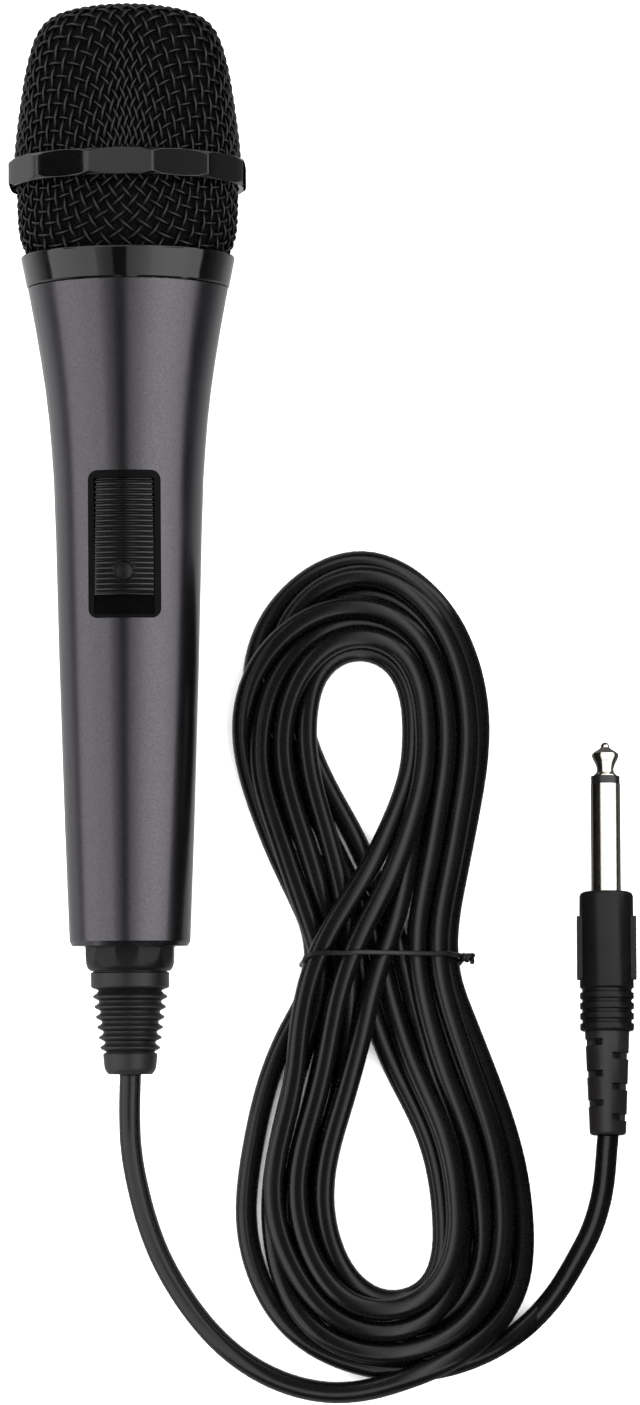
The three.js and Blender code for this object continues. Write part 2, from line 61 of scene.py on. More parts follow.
def mic(x, w, up):
    """A point x mm across, w mm along the axis from the tail and up mm towards the switch side."""
    return TAIL_POINT + x * ACROSS + w * ALONG + up * TOPWARD


def mic_around(r, w, angle):
    """A point at radius r and w along the axis; angle 0 is the switch side, pi / 2 is +X."""
    return mic(r * math.sin(angle), w, r * math.cos(angle))


# ---------------- camera
LOOK_AT = np.array([40.270, -33.329, 0.0])
CAMERA_DISTANCE = 1361.96
CAMERA_LEAN_X = math.radians(2.1)
CAMERA_LEAN_Y = math.radians(7.3)
CAMERA_ROLL = math.radians(0.10)
FOCAL_PIXELS = 6285.0
IMAGE_HEIGHT = 1405.0
SENSOR = 36.0

toward_camera = np.array([
    math.sin(CAMERA_LEAN_X),
    -math.sin(CAMERA_LEAN_Y) * math.cos(CAMERA_LEAN_X),
    math.cos(CAMERA_LEAN_Y) * math.cos(CAMERA_LEAN_X),
])
camera_up = unit(np.array([0.0, 1.0, 0.0]) - toward_camera[1] * toward_camera)
camera_right = np.cross(camera_up, toward_camera)
rolled_up = math.cos(CAMERA_ROLL) * camera_up + math.sin(CAMERA_ROLL) * camera_right
rolled_right = math.cos(CAMERA_ROLL) * camera_right - math.sin(CAMERA_ROLL) * camera_up
camera_data = bpy.data.cameras.new("camera")
camera_data.sensor_width = SENSOR
camera_data.lens = SENSOR * FOCAL_PIXELS / IMAGE_HEIGHT
camera_data.clip_end = 10.0
camera = bpy.data.objects.new("camera", camera_data)
camera_place = (LOOK_AT + CAMERA_DISTANCE * toward_camera) * MM
camera.matrix_world = Matrix([
    (rolled_right[k], rolled_up[k], toward_camera[k], camera_place[k]) for k in range(3)
] + [(0, 0, 0, 1)])
bpy.context.scene.collection.objects.link(camera)
bpy.context.scene.camera = camera
bpy.context.scene.view_settings.view_transform = "Standard"


# ---------------- mesh helpers
def mesh_object(name, points_mm, faces, smooth=True):
    """A new mesh object from points in mm."""
    mesh = bpy.data.meshes.new(name)
    mesh.from_pydata((np.asarray(points_mm) * MM).tolist(), [], faces)
    mesh.polygons.foreach_set("use_smooth", [smooth] * len(mesh.polygons))
    mesh.update()
    thing = bpy.data.objects.new(name, mesh)
    bpy.context.scene.collection.objects.link(thing)
    return thing


def quad_grid(rows, columns, close_columns=False):
    """Faces of a grid of rows by columns points, numbered row by row."""
    last = columns if close_columns else columns - 1
    faces = []
    for i in range(rows - 1):
        for j in range(last):
            near, far, k = i * columns, (i + 1) * columns, (j + 1) % columns
            faces.append((near + j, near + k, far + k, far + j))
    return faces


def tube(path, radius, sides, reference=None):
    """Points and faces of a closed tube along a path; a corner of it looks along reference if given."""
    path = np.asarray(path, float)
    count = len(path)
    tangent = np.gradient(path, axis=0)
    tangent /= np.linalg.norm(tangent, axis=1)[:, None]
    if reference is None:
        side = np.cross(tangent[0], (0, 0, 1) if abs(tangent[0, 2]) < 0.9 else (1, 0, 0))
        normals = []
        for way in tangent:
            side = unit(side - (side @ way) * way)
            normals.append(side)
        normals = np.array(normals)
    else:
        normals = reference - (reference * tangent).sum(1)[:, None] * tangent
        normals /= np.linalg.norm(normals, axis=1)[:, None]
    binormals = np.cross(tangent, normals)
    turn = np.linspace(0, 2 * math.pi, sides, endpoint=False)
    ring = (np.cos(turn)[None, :, None] * normals[:, None]
            + np.sin(turn)[None, :, None] * binormals[:, None])
    points = (path[:, None] + ring * radius).reshape(-1, 3)
    faces = quad_grid(count, sides, True)
    faces.append(tuple(reversed(range(sides))))
    faces.append(tuple(range((count - 1) * sides, count * sides)))
    return points, faces


def catmull(points, step):
    """A centripetal Catmull-Rom curve through the points, sampled about every step."""
    points = np.asarray(points, float)
    points = np.vstack([2 * points[0] - points[1], points, 2 * points[-1] - points[-2]])
    out = []
    for i in range(1, len(points) - 2):
        p = points[i - 1:i + 3]
        t = np.r_[0, np.cumsum(np.maximum(np.linalg.norm(np.diff(p, axis=0), axis=1), 1e-6) ** 0.5)]
        count = max(2, int(np.linalg.norm(p[2] - p[1]) / step * 3))
        s = np.linspace(t[1], t[2], count, endpoint=False)[:, None]
        a = [(t[k + 1] - s) / (t[k + 1] - t[k]) * p[k] + (s - t[k]) / (t[k + 1] - t[k]) * p[k + 1]
             for k in range(3)]
        b = [(t[k + 2] - s) / (t[k + 2] - t[k]) * a[k] + (s - t[k]) / (t[k + 2] - t[k]) * a[k + 1]
             for k in range(2)]
        out.append((t[2] - s) / (t[2] - t[1]) * b[0] + (s - t[1]) / (t[2] - t[1]) * b[1])
    out.append(points[-2:-1])
    return evenly(np.vstack(out), step)


def evenly(path, step):
    """The path resampled at equal steps of about the given length."""
    run = np.r_[0, np.cumsum(np.linalg.norm(np.diff(path, axis=0), axis=1))]
    at = np.linspace(0, run[-1], max(2, int(round(run[-1] / step))) + 1)
    return np.stack([np.interp(at, run, column) for column in path.T], 1)


# ---------------- the lead's route, in mm
CORD_R = 2.3
CORD_D = 2 * CORD_R
LAYER = 0.9 * CORD_D
MIC_LEAD = [
    (0, -114.82, 10.74), (0, -119.8, 10.36), (-0.3, -125, 9.3), (0.2, -132, 7.3), (1.5, -139.2, 5.2),
    (3.2, -146, 3.5), (5.6, -152.3, 2.6), (9.8, -159.9, 2.3), (16.5, -168.9, 2.3),
    (23.6, -175.1, 2.3), (30.7, -178.9, 2.3), (40.0, -181.4, 2.3), (49.6, -180.9, 3.5),
]
PLUG_LEAD = [
    (70.6, -174.2, 2.3), (77.4, -170.9, 2.3), (83.8, -167.2, 2.3), (90.5, -160.6, 2.3),
    (95.9, -152.3, 2.3), (99.3, -144.9, 2.9), (101, -137.5, 4.2), (101.85, -132.5, 5.3),
    (101.85, -127.9, 5.8),
]
# Outer and inner strand centres round the hank: over the top from right to left, then round the
# bottom from left to right.
TOP_STATIONS = np.array([
    ((67.9, -88.8), (61.8, -88.8)), ((70.3, -66.1), (55.9, -66.1)), ((73.4, -46.7), (61.6, -46.6)),
    ((73.3, -31.5), (59.9, -32.8)), ((65.8, -13.1), (56.6, -25.2)), ((50.3, -3.6), (48.8, -22.4)),
    ((34.4, -12.8), (40.9, -25.2)), ((26.6, -31.0), (37.6, -33.2)), ((26.0, -46.4), (38.2, -46.5)),
    ((31.4, -65.9), (47.7, -66.0)), ((39.1, -88.6), (45.7, -88.7)),
])
BOTTOM_STATIONS = np.array([
    ((39.1, -88.6), (45.7, -88.7)), ((33.2, -104.7), (48.1, -102.7)), ((28.9, -115.5), (45.5, -115.5)),
    ((25.0, -136.8), (40.1, -136.9)), ((25.2, -148.6), (40.9, -149.0)), ((29.7, -160.2), (45.6, -159.9)),
    ((37.1, -169.6), (50.1, -163.5)), ((51.5, -175.2), (57.0, -164.2)), ((67.1, -172.1), (65.2, -161.5)),
    ((78.3, -160.2), (68.4, -154.0)), ((80.7, -141.3), (68.3, -141.3)), ((78.8, -126.4), (64.7, -126.3)),
    ((75.7, -115.7), (59.2, -115.6)), ((71.2, -104.9), (54.3, -102.7)), ((67.9, -88.8), (61.8, -88.8)),
])
# Each turn's share of the way from outer to inner at every station, and its layer there.
TOP_TURNS = {
    1: ((0, 0, 0, 0, 0, 0, .10, .35, .35), (0,) * 9),
    2: ((.16, .17, .17, .17, .16, .20, .42, .68, .68), (1, 1, 1, 1, 1, .8, .1, 0, 0)),
    3: ((.32, .34, .34, .32, .31, .38, .75, 1, 1), (0,) * 9),
    4: ((.48, .50, .50, .54, .61, .55, .10, 0, 0), (1, 1, 1, 1, 1, 1.1, 1.2, .3, 0)),
    5: ((.60, .67, .67, .64, .66, .62, .38, .20, .19), (.6, .1, 0, 0, .1, .7, 1.1, 1, 1)),
    6: ((.80, .84, .82, .80, .81, .80, .65, .52, .40), (1.3, 1, 1, 1, 1, 1.1, 1, 1, 1)),
    7: ((1, 1, .97, .93, .93, .93, .93, .86, .62), (1.5, .4, 0, 0, .1, .7, 1, 1, 1)),
}
BOTTOM_TURNS = {
    "outside": ((0,) * 13, (0,) * 13),
    "round_1": ((.2, .35, .35, .33, .24, .19, .17, .17, .17, .17, .17, .17, .17),
                (.5, 0, 0, 0, .5, .9, 1, 1, 1, 1, 1, 1, 1)),
    "round_2": ((.4, .66, .66, .66, .62, .56, .36, .33, .33, .33, .33, .33, .33), (0,) * 13),
    "round_3": ((.7, .97, .97, .97, .95, .90, .70, .60, .50, .50, .50, .50, .50),
                (.5, 0, 0, 0, 0, 0, 0, .1, .5, 1, 1, 1, 1)),
    "cross_3": ((.3, .38, .40, .48, .58, .60, .52, .56, .64, .67, .67, .67, .60),
                (1.5, 1, 1, 1, 1, 1, 1, .9, .4, 0, 0, 0, 0)),
    "cross_2": ((.6, .72, .72, .76, .82, .84, .83, .83, .83, .83, .83, .83, .80),
                (1.3, 1, 1, 1, 1, 1, 1, 1, 1, 1, .9, .5, 0)),
    "cross_1": ((.9, 1.03, 1.03, 1.03, 1.06, 1.06, 1.02, 1, 1, 1, 1, 1, 1),
                (1, 1, 1, 1, .9, .6, .1, 0, 0, 0, 0, 0, 0)),
}
WAIST_Y = -88.8
WAIST_RIGHT = {1: (67.9, 0), 2: (65.7, 1), 3: (63.4, 0), 4: (61.2, 1)}
WAIST_LEFT = {4: (39.1, 0), 5: (41.4, 1), 6: (43.7, 0), 7: (46.0, 1)}
UNDER_WAIST = {
    1: ((42.0, -77.5), (48.0, -89.2), (54.0, -103.0)),
    2: ((47.2, -77.5), (52.6, -89.2), (57.6, -103.0)),
    3: ((52.0, -77.5), (57.2, -89.2), (61.2, -103.0)),
}
OVER_WAIST = {
    5: ((50.9, -97.5, 1.1), (54.9, -88.6, 1.3), (59.0, -79.4, 1.5), (61.7, -70.6, 1.6)),
    6: ((44.8, -97.5, 1.6), (48.0, -88.6, 2.0), (52.6, -79.4, 2.0), (57.3, -70.6, 1.8)),
    7: ((37.6, -97.5, 1.6), (40.9, -88.6, 2.1), (45.9, -79.6, 2.3), (52.2, -70.6, 2.3)),
}
# One top turn, the bottom turn that follows it, and the next top turn.
WINDING = ((1, "cross_1", 5), (5, "round_1", 2), (2, "cross_2", 6), (6, "round_2", 3),
           (3, "cross_3", 7), (7, "round_3", 4))
JOIN_RIGHT = ((58.6, -177.8, .95), (66.9, -174.5, .9), (74.5, -167.5, .3))
LEAVE_RIGHT = ((51.0, -175.6, 0), (62.6, -176.2, 0))


def raised(x, y, layer):
    """A point of the route, in the given layer of strands."""
    return (x, y, CORD_R + layer * LAYER)


def at_waist(strand):
    """The point where a strand, given as (x, layer), passes the tie."""
    return raised(strand[0], WAIST_Y, strand[1])


def along_stations(stations, shares, first, last):
    """Points of one turn at the stations first to last."""
    return [raised(*(stations[k, 0] + (stations[k, 1] - stations[k, 0]) * shares[0][k - 1]), shares[1][k - 1])
            for k in range(first, last + 1)]


def top_turn(number, first=1):
    return along_stations(TOP_STATIONS, TOP_TURNS[number], first, 9)


def bottom_turn(name, first=2, last=12):
    return along_stations(BOTTOM_STATIONS, BOTTOM_TURNS[name], first, last)


def hank_route():
    """The planned route of the whole hank, turn by turn."""
    route = [raised(*p) for p in JOIN_RIGHT]
    route += bottom_turn("outside", 9, 12)
    route += [at_waist(WAIST_RIGHT[1])] + top_turn(1)
    for top, bottom, following in WINDING:
        if bottom.startswith("cross"):
            route += [raised(x, y, 0) for x, y in UNDER_WAIST[top]]
            route += bottom_turn(bottom)[::-1]
            route += [raised(*p) for p in OVER_WAIST[following]]
            route += top_turn(following, 2)
        else:
            route += [at_waist(WAIST_LEFT[top])] + bottom_turn(bottom)
            route += [at_waist(WAIST_RIGHT[following])] + top_turn(following)
    route += [at_waist(WAIST_LEFT[4])] + bottom_turn("outside", 1, 6)
    return route + [raised(*p) for p in LEAVE_RIGHT]


# ---------------- settling the lead under contact
NODE_STEP = 4.0
SETTLE_ROUNDS = 460
FINAL_SHARE = 0.85          # the plan lets go of the lead after this share of the rounds
FIXED_ENDS = 8              # nodes held at each end
FOLD_R = 15.0               # the bend that the jacket springs open to
STIFFNESS = 0.5
CONTACT_GAP = 1.004 * CORD_D
CONTACT_PUSH = 0.8
SWELL_FROM, SWELL = 0.45, 1.1   # share of the contact gap at first, and its growth over the rounds
SINK = 0.04
PULL_TO_PLAN = 0.02
EVENING = 0.45
FOUND_EVERY = 8             # rounds between two searches for strands that may touch
FOUND_MARGIN = 2.5
NEAR_ALONG = 2.2 * CORD_D   # stretches nearer than this along the lead are not tested for contact
SEARCH_BLOCK = 256
TINY = 1e-6
HANK_LEFT, HANK_RIGHT = 30, 80
TIE_REACH = 9.0
TIE_FLARE = 0.02
TIE_Y = -89.6
TIE_R = 0.55
TIE_LIFT, TIE_RAMP = 2.1 * TIE_R, 16.0


def floor_height(path):
    """The lowest a strand's centre may lie: on the floor, or on the tie that passes under it."""
    inside = (path[:, 0] > HANK_LEFT) & (path[:, 0] < HANK_RIGHT)
    lift = np.maximum(0, 1 - ((path[:, 1] - TIE_Y) / TIE_RAMP) ** 2) ** 2
    return CORD_R + np.where(inside, TIE_LIFT * lift, 0)


def nearest(path, i, j):
    """For pairs of segments, where each is nearest the other and the vector between them."""
    p1, p2 = path[i], path[j]
    d1, d2, r = path[i + 1] - p1, path[j + 1] - p2, path[i] - path[j]
    a, e, f = (d1 * d1).sum(1), (d2 * d2).sum(1), (d2 * r).sum(1)
    c, b = (d1 * r).sum(1), (d1 * d2).sum(1)
    s = np.clip((b * f - c * e) / np.maximum(a * e - b * b, 1e-9), 0, 1)
    t = np.clip((b * s + f) / np.maximum(e, 1e-9), 0, 1)
    s = np.clip((b * t - c) / np.maximum(a, 1e-9), 0, 1)
    return s, t, (p1 + d1 * s[:, None]) - (p2 + d2 * t[:, None])


def near_pairs(path, reach, skip):
    """Pairs of segments within reach of each other and more than skip apart along the cord."""
    middle = (path[:-1] + path[1:]) / 2
    found = []
    for k in range(0, len(middle), SEARCH_BLOCK):
        gap = np.linalg.norm(middle[k:k + SEARCH_BLOCK, None] - middle[None], axis=2)
        a, b = np.nonzero(gap < reach)
        a = a + k
        keep = b - a > skip
        found.append(np.stack([a[keep], b[keep]], 1))
    return np.vstack(found)


def part_strands(path, pairs, goal, free):
    """Moves strands that are closer than goal away from each other, in place."""
    i, j = pairs[:, 0], pairs[:, 1]
    s, t, apart = nearest(path, i, j)
    gap = np.linalg.norm(apart, axis=1)
    hit = gap < goal
    i, j, s, t, apart, gap = i[hit], j[hit], s[hit], t[hit], apart[hit], gap[hit]
    way = apart / np.maximum(gap, TINY)[:, None]
    push = CONTACT_PUSH * (goal - gap) / ((1 - s) ** 2 + s ** 2 + (1 - t) ** 2 + t ** 2)
    move, weight = np.zeros_like(path), np.zeros(len(path))
    for index, share, sign in ((i, 1 - s, 1), (i + 1, s, 1), (j, 1 - t, -1), (j + 1, t, -1)):
        np.add.at(move, index, sign * (push * share)[:, None] * way)
        np.add.at(weight, index, share)
    path += move / np.maximum(weight, 1)[:, None] * free


def open_bends(path, most_sag, free):
    """Opens bends that are tighter than the jacket allows, in place."""
    sag = path[2:-2] - (path[:-4] + path[4:]) / 2
    deep = np.linalg.norm(sag, axis=1)[:, None]
    sag *= np.maximum(0, 1 - most_sag / np.maximum(deep, TINY)) * STIFFNESS
    path[2:-2] -= sag * free[2:-2]
    path[:-4] += sag / 2 * free[:-4]
    path[4:] += sag / 2 * free[4:]


def hold_in_tie(path):
    """Keeps the strands at the tie inside its width, in place."""
    off = path[:, 1] - WAIST_Y
    tied = (np.abs(off) < TIE_REACH) & (path[:, 0] > HANK_LEFT) & (path[:, 0] < HANK_RIGHT)
    slack = TIE_FLARE * off[tied] ** 2
    path[tied, 0] = np.clip(path[tied, 0], WAIST_LEFT[4][0] - slack, WAIST_RIGHT[1][0] + slack)


def settle(plan):
    """The planned route, pushed apart where strands would pass through each other."""
    path = plan.copy()
    most_sag = FOLD_R * (1 - math.cos(2 * NODE_STEP / FOLD_R))
    free = np.ones((len(path), 1))
    free[:FIXED_ENDS] = 0
    free[-FIXED_ENDS:] = 0
    skip = int(NEAR_ALONG / NODE_STEP) + 1
    for turn in range(SETTLE_ROUNDS):
        if turn % FOUND_EVERY == 0:
            pairs = near_pairs(path, CORD_D + NODE_STEP + FOUND_MARGIN, skip)
        last = turn > SETTLE_ROUNDS * FINAL_SHARE
        goal = CONTACT_GAP * min(1.0, SWELL_FROM + SWELL * turn / SETTLE_ROUNDS)
        if not last:
            path[:, 2:] -= SINK * free
            path[:, :2] -= PULL_TO_PLAN * (path - plan)[:, :2] * free
        shift = path - plan
        if not last or turn % 4 == 0:
            for _ in range(4):
                bend = (shift[:-2] + shift[2:]) / 2 - shift[1:-1]
                shift[1:-1] += EVENING * bend * free[1:-1]
        path = plan + shift
        for _ in range(4 if last else 2):
            open_bends(path, most_sag, free)
            part_strands(path, pairs, goal, free)
            path[:, 2] = np.maximum(path[:, 2], floor_height(path))
            hold_in_tie(path)
    return path


SMOOTHED, GIVEN_BACK = 0.5, -0.53   # shares of a smoothing step and of the one that undoes its shrinking


def eased(path, rounds):
    """The path with its kinks smoothed out but its wide bends kept, its ends held."""
    path = path.copy()
    for share in (SMOOTHED, GIVEN_BACK) * rounds:
        path[FIXED_ENDS:-FIXED_ENDS] += share * (
            (path[FIXED_ENDS - 1:-FIXED_ENDS - 1] + path[FIXED_ENDS + 1:-FIXED_ENDS + 1]) / 2
            - path[FIXED_ENDS:-FIXED_ENDS])
    return path


CORD_STEP = 2.0
CORD_SIDES = 20
IN_BOOT = mic(0, -27.12, 0)
IN_PLUG_BOOT = (101.85, -127.32, 5.86)

cord_plan = eased(catmull(MIC_LEAD + hank_route() + PLUG_LEAD, NODE_STEP), 14)
cord_nodes = eased(settle(cord_plan), 3)
if len(cord_nodes) % 2 == 0:
    cord_nodes = np.vstack([cord_nodes[:-2], cord_nodes[-1:]])
cord_path = eased(catmull(cord_nodes[::2], CORD_STEP), 10)
cord_path[:, 2] = np.maximum(cord_path[:, 2], floor_height(cord_path))
cord_path = np.vstack([IN_BOOT, cord_path, IN_PLUG_BOOT])
cord = mesh_object("cord", *tube(cord_path, CORD_R, CORD_SIDES))

# ---------------- materials
NOISE_SPAN = (0.3, 0.7)   # where most of a noise's values lie


def new_material(name):
    """A material with its node tree and its Principled shader."""
    made = bpy.data.materials.new(name)
    made.use_nodes = True
    tree = made.node_tree
    return made, tree, tree.nodes["Principled BSDF"]


def set_inputs(node, values):
    """Sets the node's unlinked inputs, by name."""
    for socket, value in values.items():
        node.inputs[socket].default_value = value
    return node


def object_place(tree):
    """The point in the object's own metres."""
    return tree.nodes.new("ShaderNodeTexCoord").outputs["Object"]


def noise(tree, scale, detail=3.0, rough=0.55, stretch=(1, 1, 1)):
    """A noise over the object's own metres, stretched along its axes."""
    mapping = set_inputs(tree.nodes.new("ShaderNodeMapping"), {"Scale": stretch})
    texture = set_inputs(tree.nodes.new("ShaderNodeTexNoise"),
                         {"Scale": scale, "Detail": detail, "Roughness": rough})
    tree.links.new(object_place(tree), mapping.inputs["Vector"])
    tree.links.new(mapping.outputs["Vector"], texture.inputs["Vector"])
    return texture.outputs["Fac"]


def cells(tree, scale):
    """A Voronoi texture over the object's own metres."""
    texture = set_inputs(tree.nodes.new("ShaderNodeTexVoronoi"), {"Scale": scale})
    tree.links.new(object_place(tree), texture.inputs["Vector"])
    return texture


def ramp(tree, value, low, high, out_low, out_high):
    """Value mapped from low..high to out_low..out_high, clamped."""
    node = set_inputs(tree.nodes.new("ShaderNodeMapRange"),
                      {"From Min": low, "From Max": high, "To Min": out_low, "To Max": out_high})
    tree.links.new(value, node.inputs["Value"])
    return node.outputs["Result"]


def mixed(tree, value, colour_a, colour_b):
    """Colour a where value is 0 and colour b where it is 1."""
    node = tree.nodes.new("ShaderNodeMix")
    node.data_type = "RGBA"
    set_inputs(node, {"A": (*colour_a, 1), "B": (*colour_b, 1)})
    tree.links.new(value, node.inputs["Factor"])
    return node.outputs["Result"]


def bump(tree, shader, height, depth_mm, strength=1.0):
    """A bump of height value 0..1 times depth_mm."""
    node = set_inputs(tree.nodes.new("ShaderNodeBump"), {"Strength": strength, "Distance": depth_mm * MM})
    tree.links.new(height, node.inputs["Height"])
    tree.links.new(node.outputs["Normal"], shader.inputs["Normal"])


def finish_material(name, dark, light, rough, grain=900.0, patch=60.0, metallic=0.0, depth=0.02,
                    specular=0.5, coat=0.0, stretch=(1, 1, 1), sheen=0.0):
    """Colour between dark and light in broad patches, roughness rough[0]..rough[1], fine grain."""
    made, tree, shader = new_material(name)
    broad = noise(tree, patch, 4.0, 0.6, stretch)
    fine = noise(tree, grain, 3.0, 0.6, stretch)
    tint = mixed(tree, ramp(tree, broad, *NOISE_SPAN, 0, 1), dark, light)
    tree.links.new(tint, shader.inputs["Base Color"])
    tree.links.new(ramp(tree, fine, *NOISE_SPAN, *rough), shader.inputs["Roughness"])
    set_inputs(shader, {"Metallic": metallic, "Specular IOR Level": specular, "Coat Weight": coat,
                        "Coat Roughness": 0.1, "Sheen Weight": sheen})
    bump(tree, shader, fine, depth)
    return made


def flake_paint(name):
    """Dark grey metallic paint: fine flakes, each with its own shade and tilt."""
    made, tree, shader = new_material(name)
    split = tree.nodes.new("ShaderNodeSeparateColor")
    tree.links.new(cells(tree, 6500.0).outputs["Color"], split.inputs["Color"])
    tint = mixed(tree, ramp(tree, split.outputs["Red"], 0.0, 1.0, 0, 1),
                 (0.074, 0.070, 0.077), (0.108, 0.103, 0.113))
    tree.links.new(tint, shader.inputs["Base Color"])
    tree.links.new(ramp(tree, noise(tree, 45.0, 4.0, 0.6), *NOISE_SPAN, 0.22, 0.26),
                   shader.inputs["Roughness"])
    shader.inputs["Metallic"].default_value = 1.0
    bump(tree, shader, split.outputs["Green"], 0.006, 0.5)
    return made


def foam_material(name):
    """Open-cell foam: matt struts, with painted shade darkening the pits between them."""
    made, tree, shader = new_material(name)
    pits = cells(tree, 1600.0)
    pits.feature = "DISTANCE_TO_EDGE"
    edge = ramp(tree, pits.outputs["Distance"], 0.0, 0.25, 1, 0)
    # Painted shade: the colour is darker towards each cell's middle, in the pits, and lighter on the struts.
    tree.links.new(mixed(tree, edge, (0.0006, 0.0006, 0.0006), (0.0035, 0.0034, 0.0035)),
                   shader.inputs["Base Color"])
    tree.links.new(ramp(tree, noise(tree, 400.0), *NOISE_SPAN, 0.85, 1.0), shader.inputs["Roughness"])
    shader.inputs["Specular IOR Level"].default_value = 0.05
    bump(tree, shader, edge, 0.25)
    return made


def film_material(name):
    """Thin clear plastic film."""
    made = finish_material(name, (0.72, 0.75, 0.76), (0.82, 0.84, 0.84), (0.08, 0.2), 500, 80, depth=0.005)
    made.node_tree.nodes["Principled BSDF"].inputs["Transmission Weight"].default_value = 0.7
    return made


def wire_material(name):
    """Black-coated wire, with painted shade where the weave dips under and a painted highlight where it
    stands proud.
    """
    made = finish_material(name, (0.0010, 0.0010, 0.0010), (0.0020, 0.0019, 0.0020), (0.24, 0.38), 2500, 200,
                           metallic=1.0, depth=0.006)
    tree, shader = made.node_tree, made.node_tree.nodes["Principled BSDF"]
    # Painted shade and highlight: the crimp's lift darkens the colour where a wire passes under and brightens
    # it where it passes over.
    lift = tree.nodes.new("ShaderNodeAttribute")
    lift.attribute_name = "lift"
    tint = mixed(tree, ramp(tree, lift.outputs["Fac"], -0.9, 0.6, 0, 1), (0.005, 0.005, 0.005),
                 (0.041, 0.040, 0.040))
    tree.links.new(tint, shader.inputs["Base Color"])
    return made


# Dark colour, light colour, roughness range, grain and patch scales, and what is not as usual.
FINISHES = {
    "black_gloss": ((0.0008, 0.0008, 0.0009), (0.0014, 0.0014, 0.0015), (0.07, 0.13), 700, 40,
                    {"depth": 0.002, "specular": 0.55}),
    "black_plastic": ((0.0016, 0.0015, 0.0018), (0.003, 0.0028, 0.0033), (0.26, 0.36), 2600, 120,
                      {"depth": 0.006, "specular": 0.2}),
    "black_rubber": ((0.0032, 0.0024, 0.0027), (0.0066, 0.0052, 0.0057), (0.34, 0.46), 1800, 90,
                     {"depth": 0.012, "specular": 0.38}),
    "cord_jacket": ((0.0008, 0.0008, 0.0008), (0.0016, 0.0015, 0.0016), (0.22, 0.3), 1500, 70,
                    {"depth": 0.006, "specular": 0.42}),
    "tie_plastic": ((0.002, 0.002, 0.0022), (0.004, 0.0038, 0.004), (0.3, 0.45), 2000, 200,
                    {"depth": 0.01}),
    "grey_plastic": ((0.1, 0.1, 0.105), (0.16, 0.16, 0.165), (0.35, 0.5), 1800, 100, {}),
    "steel": ((0.42, 0.42, 0.43), (0.55, 0.55, 0.56), (0.22, 0.38), 2400, 150,
              {"metallic": 1.0, "depth": 0.006}),
    "nickel": ((0.7, 0.66, 0.61), (0.8, 0.76, 0.7), (0.1, 0.2), 1600, 220,
               {"metallic": 1.0, "depth": 0.003, "stretch": (1, 6, 1)}),
    "zinc": ((0.45, 0.46, 0.47), (0.6, 0.6, 0.6), (0.35, 0.55), 900, 120,
             {"metallic": 1.0, "depth": 0.03}),
    "magnet": ((0.16, 0.16, 0.17), (0.26, 0.26, 0.27), (0.3, 0.5), 1500, 150, {"metallic": 0.9}),
    "copper": ((0.62, 0.27, 0.15), (0.8, 0.38, 0.22), (0.22, 0.38), 4000, 300,
               {"metallic": 1.0, "depth": 0.01, "stretch": (1, 8, 1)}),
    "felt": ((0.24, 0.23, 0.21), (0.4, 0.38, 0.35), (0.85, 1.0), 3500, 400,
             {"depth": 0.12, "specular": 0.1, "sheen": 0.3}),
    "board": ((0.02, 0.09, 0.035), (0.04, 0.15, 0.06), (0.3, 0.45), 1800, 260, {"coat": 0.3}),
    "wire_red": ((0.36, 0.012, 0.01), (0.5, 0.025, 0.018), (0.32, 0.45), 1500, 200, {}),
    "wire_white": ((0.62, 0.61, 0.57), (0.76, 0.75, 0.71), (0.35, 0.5), 1500, 200, {}),
    "grip_plastic": ((0.0012, 0.0012, 0.0013), (0.0022, 0.0021, 0.0023), (0.2, 0.28), 1600, 120,
                     {"depth": 0.003, "specular": 0.6}),
    "bezel_plastic": ((0.001, 0.001, 0.0011), (0.0018, 0.0018, 0.002), (0.18, 0.26), 1600, 120,
                      {"depth": 0.003, "specular": 0.03}),
    "insulator": ((0.003, 0.003, 0.003), (0.006, 0.006, 0.006), (0.2, 0.35), 1500, 200, {}),
}
MATERIALS = {name: finish_material(name, *usual, **rest) for name, (*usual, rest) in FINISHES.items()}
for name, make in (("body_paint", flake_paint), ("mesh_wire", wire_material), ("black_foam", foam_material),
                   ("clear_film", film_material)):
    MATERIALS[name] = make(name)
OTHER_FINISH = {"mesh_joint_band": "bezel_plastic", "switch_bezel": "bezel_plastic"}

for part in frame["record"]["subparts"]:
    node = part["node"]
    for place in NODES[node].material_slots:
        place.link = "OBJECT"
        place.material = MATERIALS[OTHER_FINISH.get(node, part["material_slot"])]


def new_piece(thing, slot, body, *replaced, finish=None):
    """Gives a new piece the finish of its record slot, or the finish named instead, attaches it to its body
    and hides the CAD nodes that it replaces.
    """
    thing.data.materials.append(MATERIALS[finish or slot])
    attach(thing, body)
    if replaced:
        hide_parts(*replaced)
    return thing


# ---------------- soft edges on the CAD pieces
SMOOTH_BELOW, BEVEL_ABOVE = 24, 30   # degrees
BEVEL_SEGMENTS = 2
WELD_GAP = 2e-6
EDGE_WIDTHS = {"grille_ring": 0.18, "switch_bezel": 0.10, "plug_handle": 0.10}


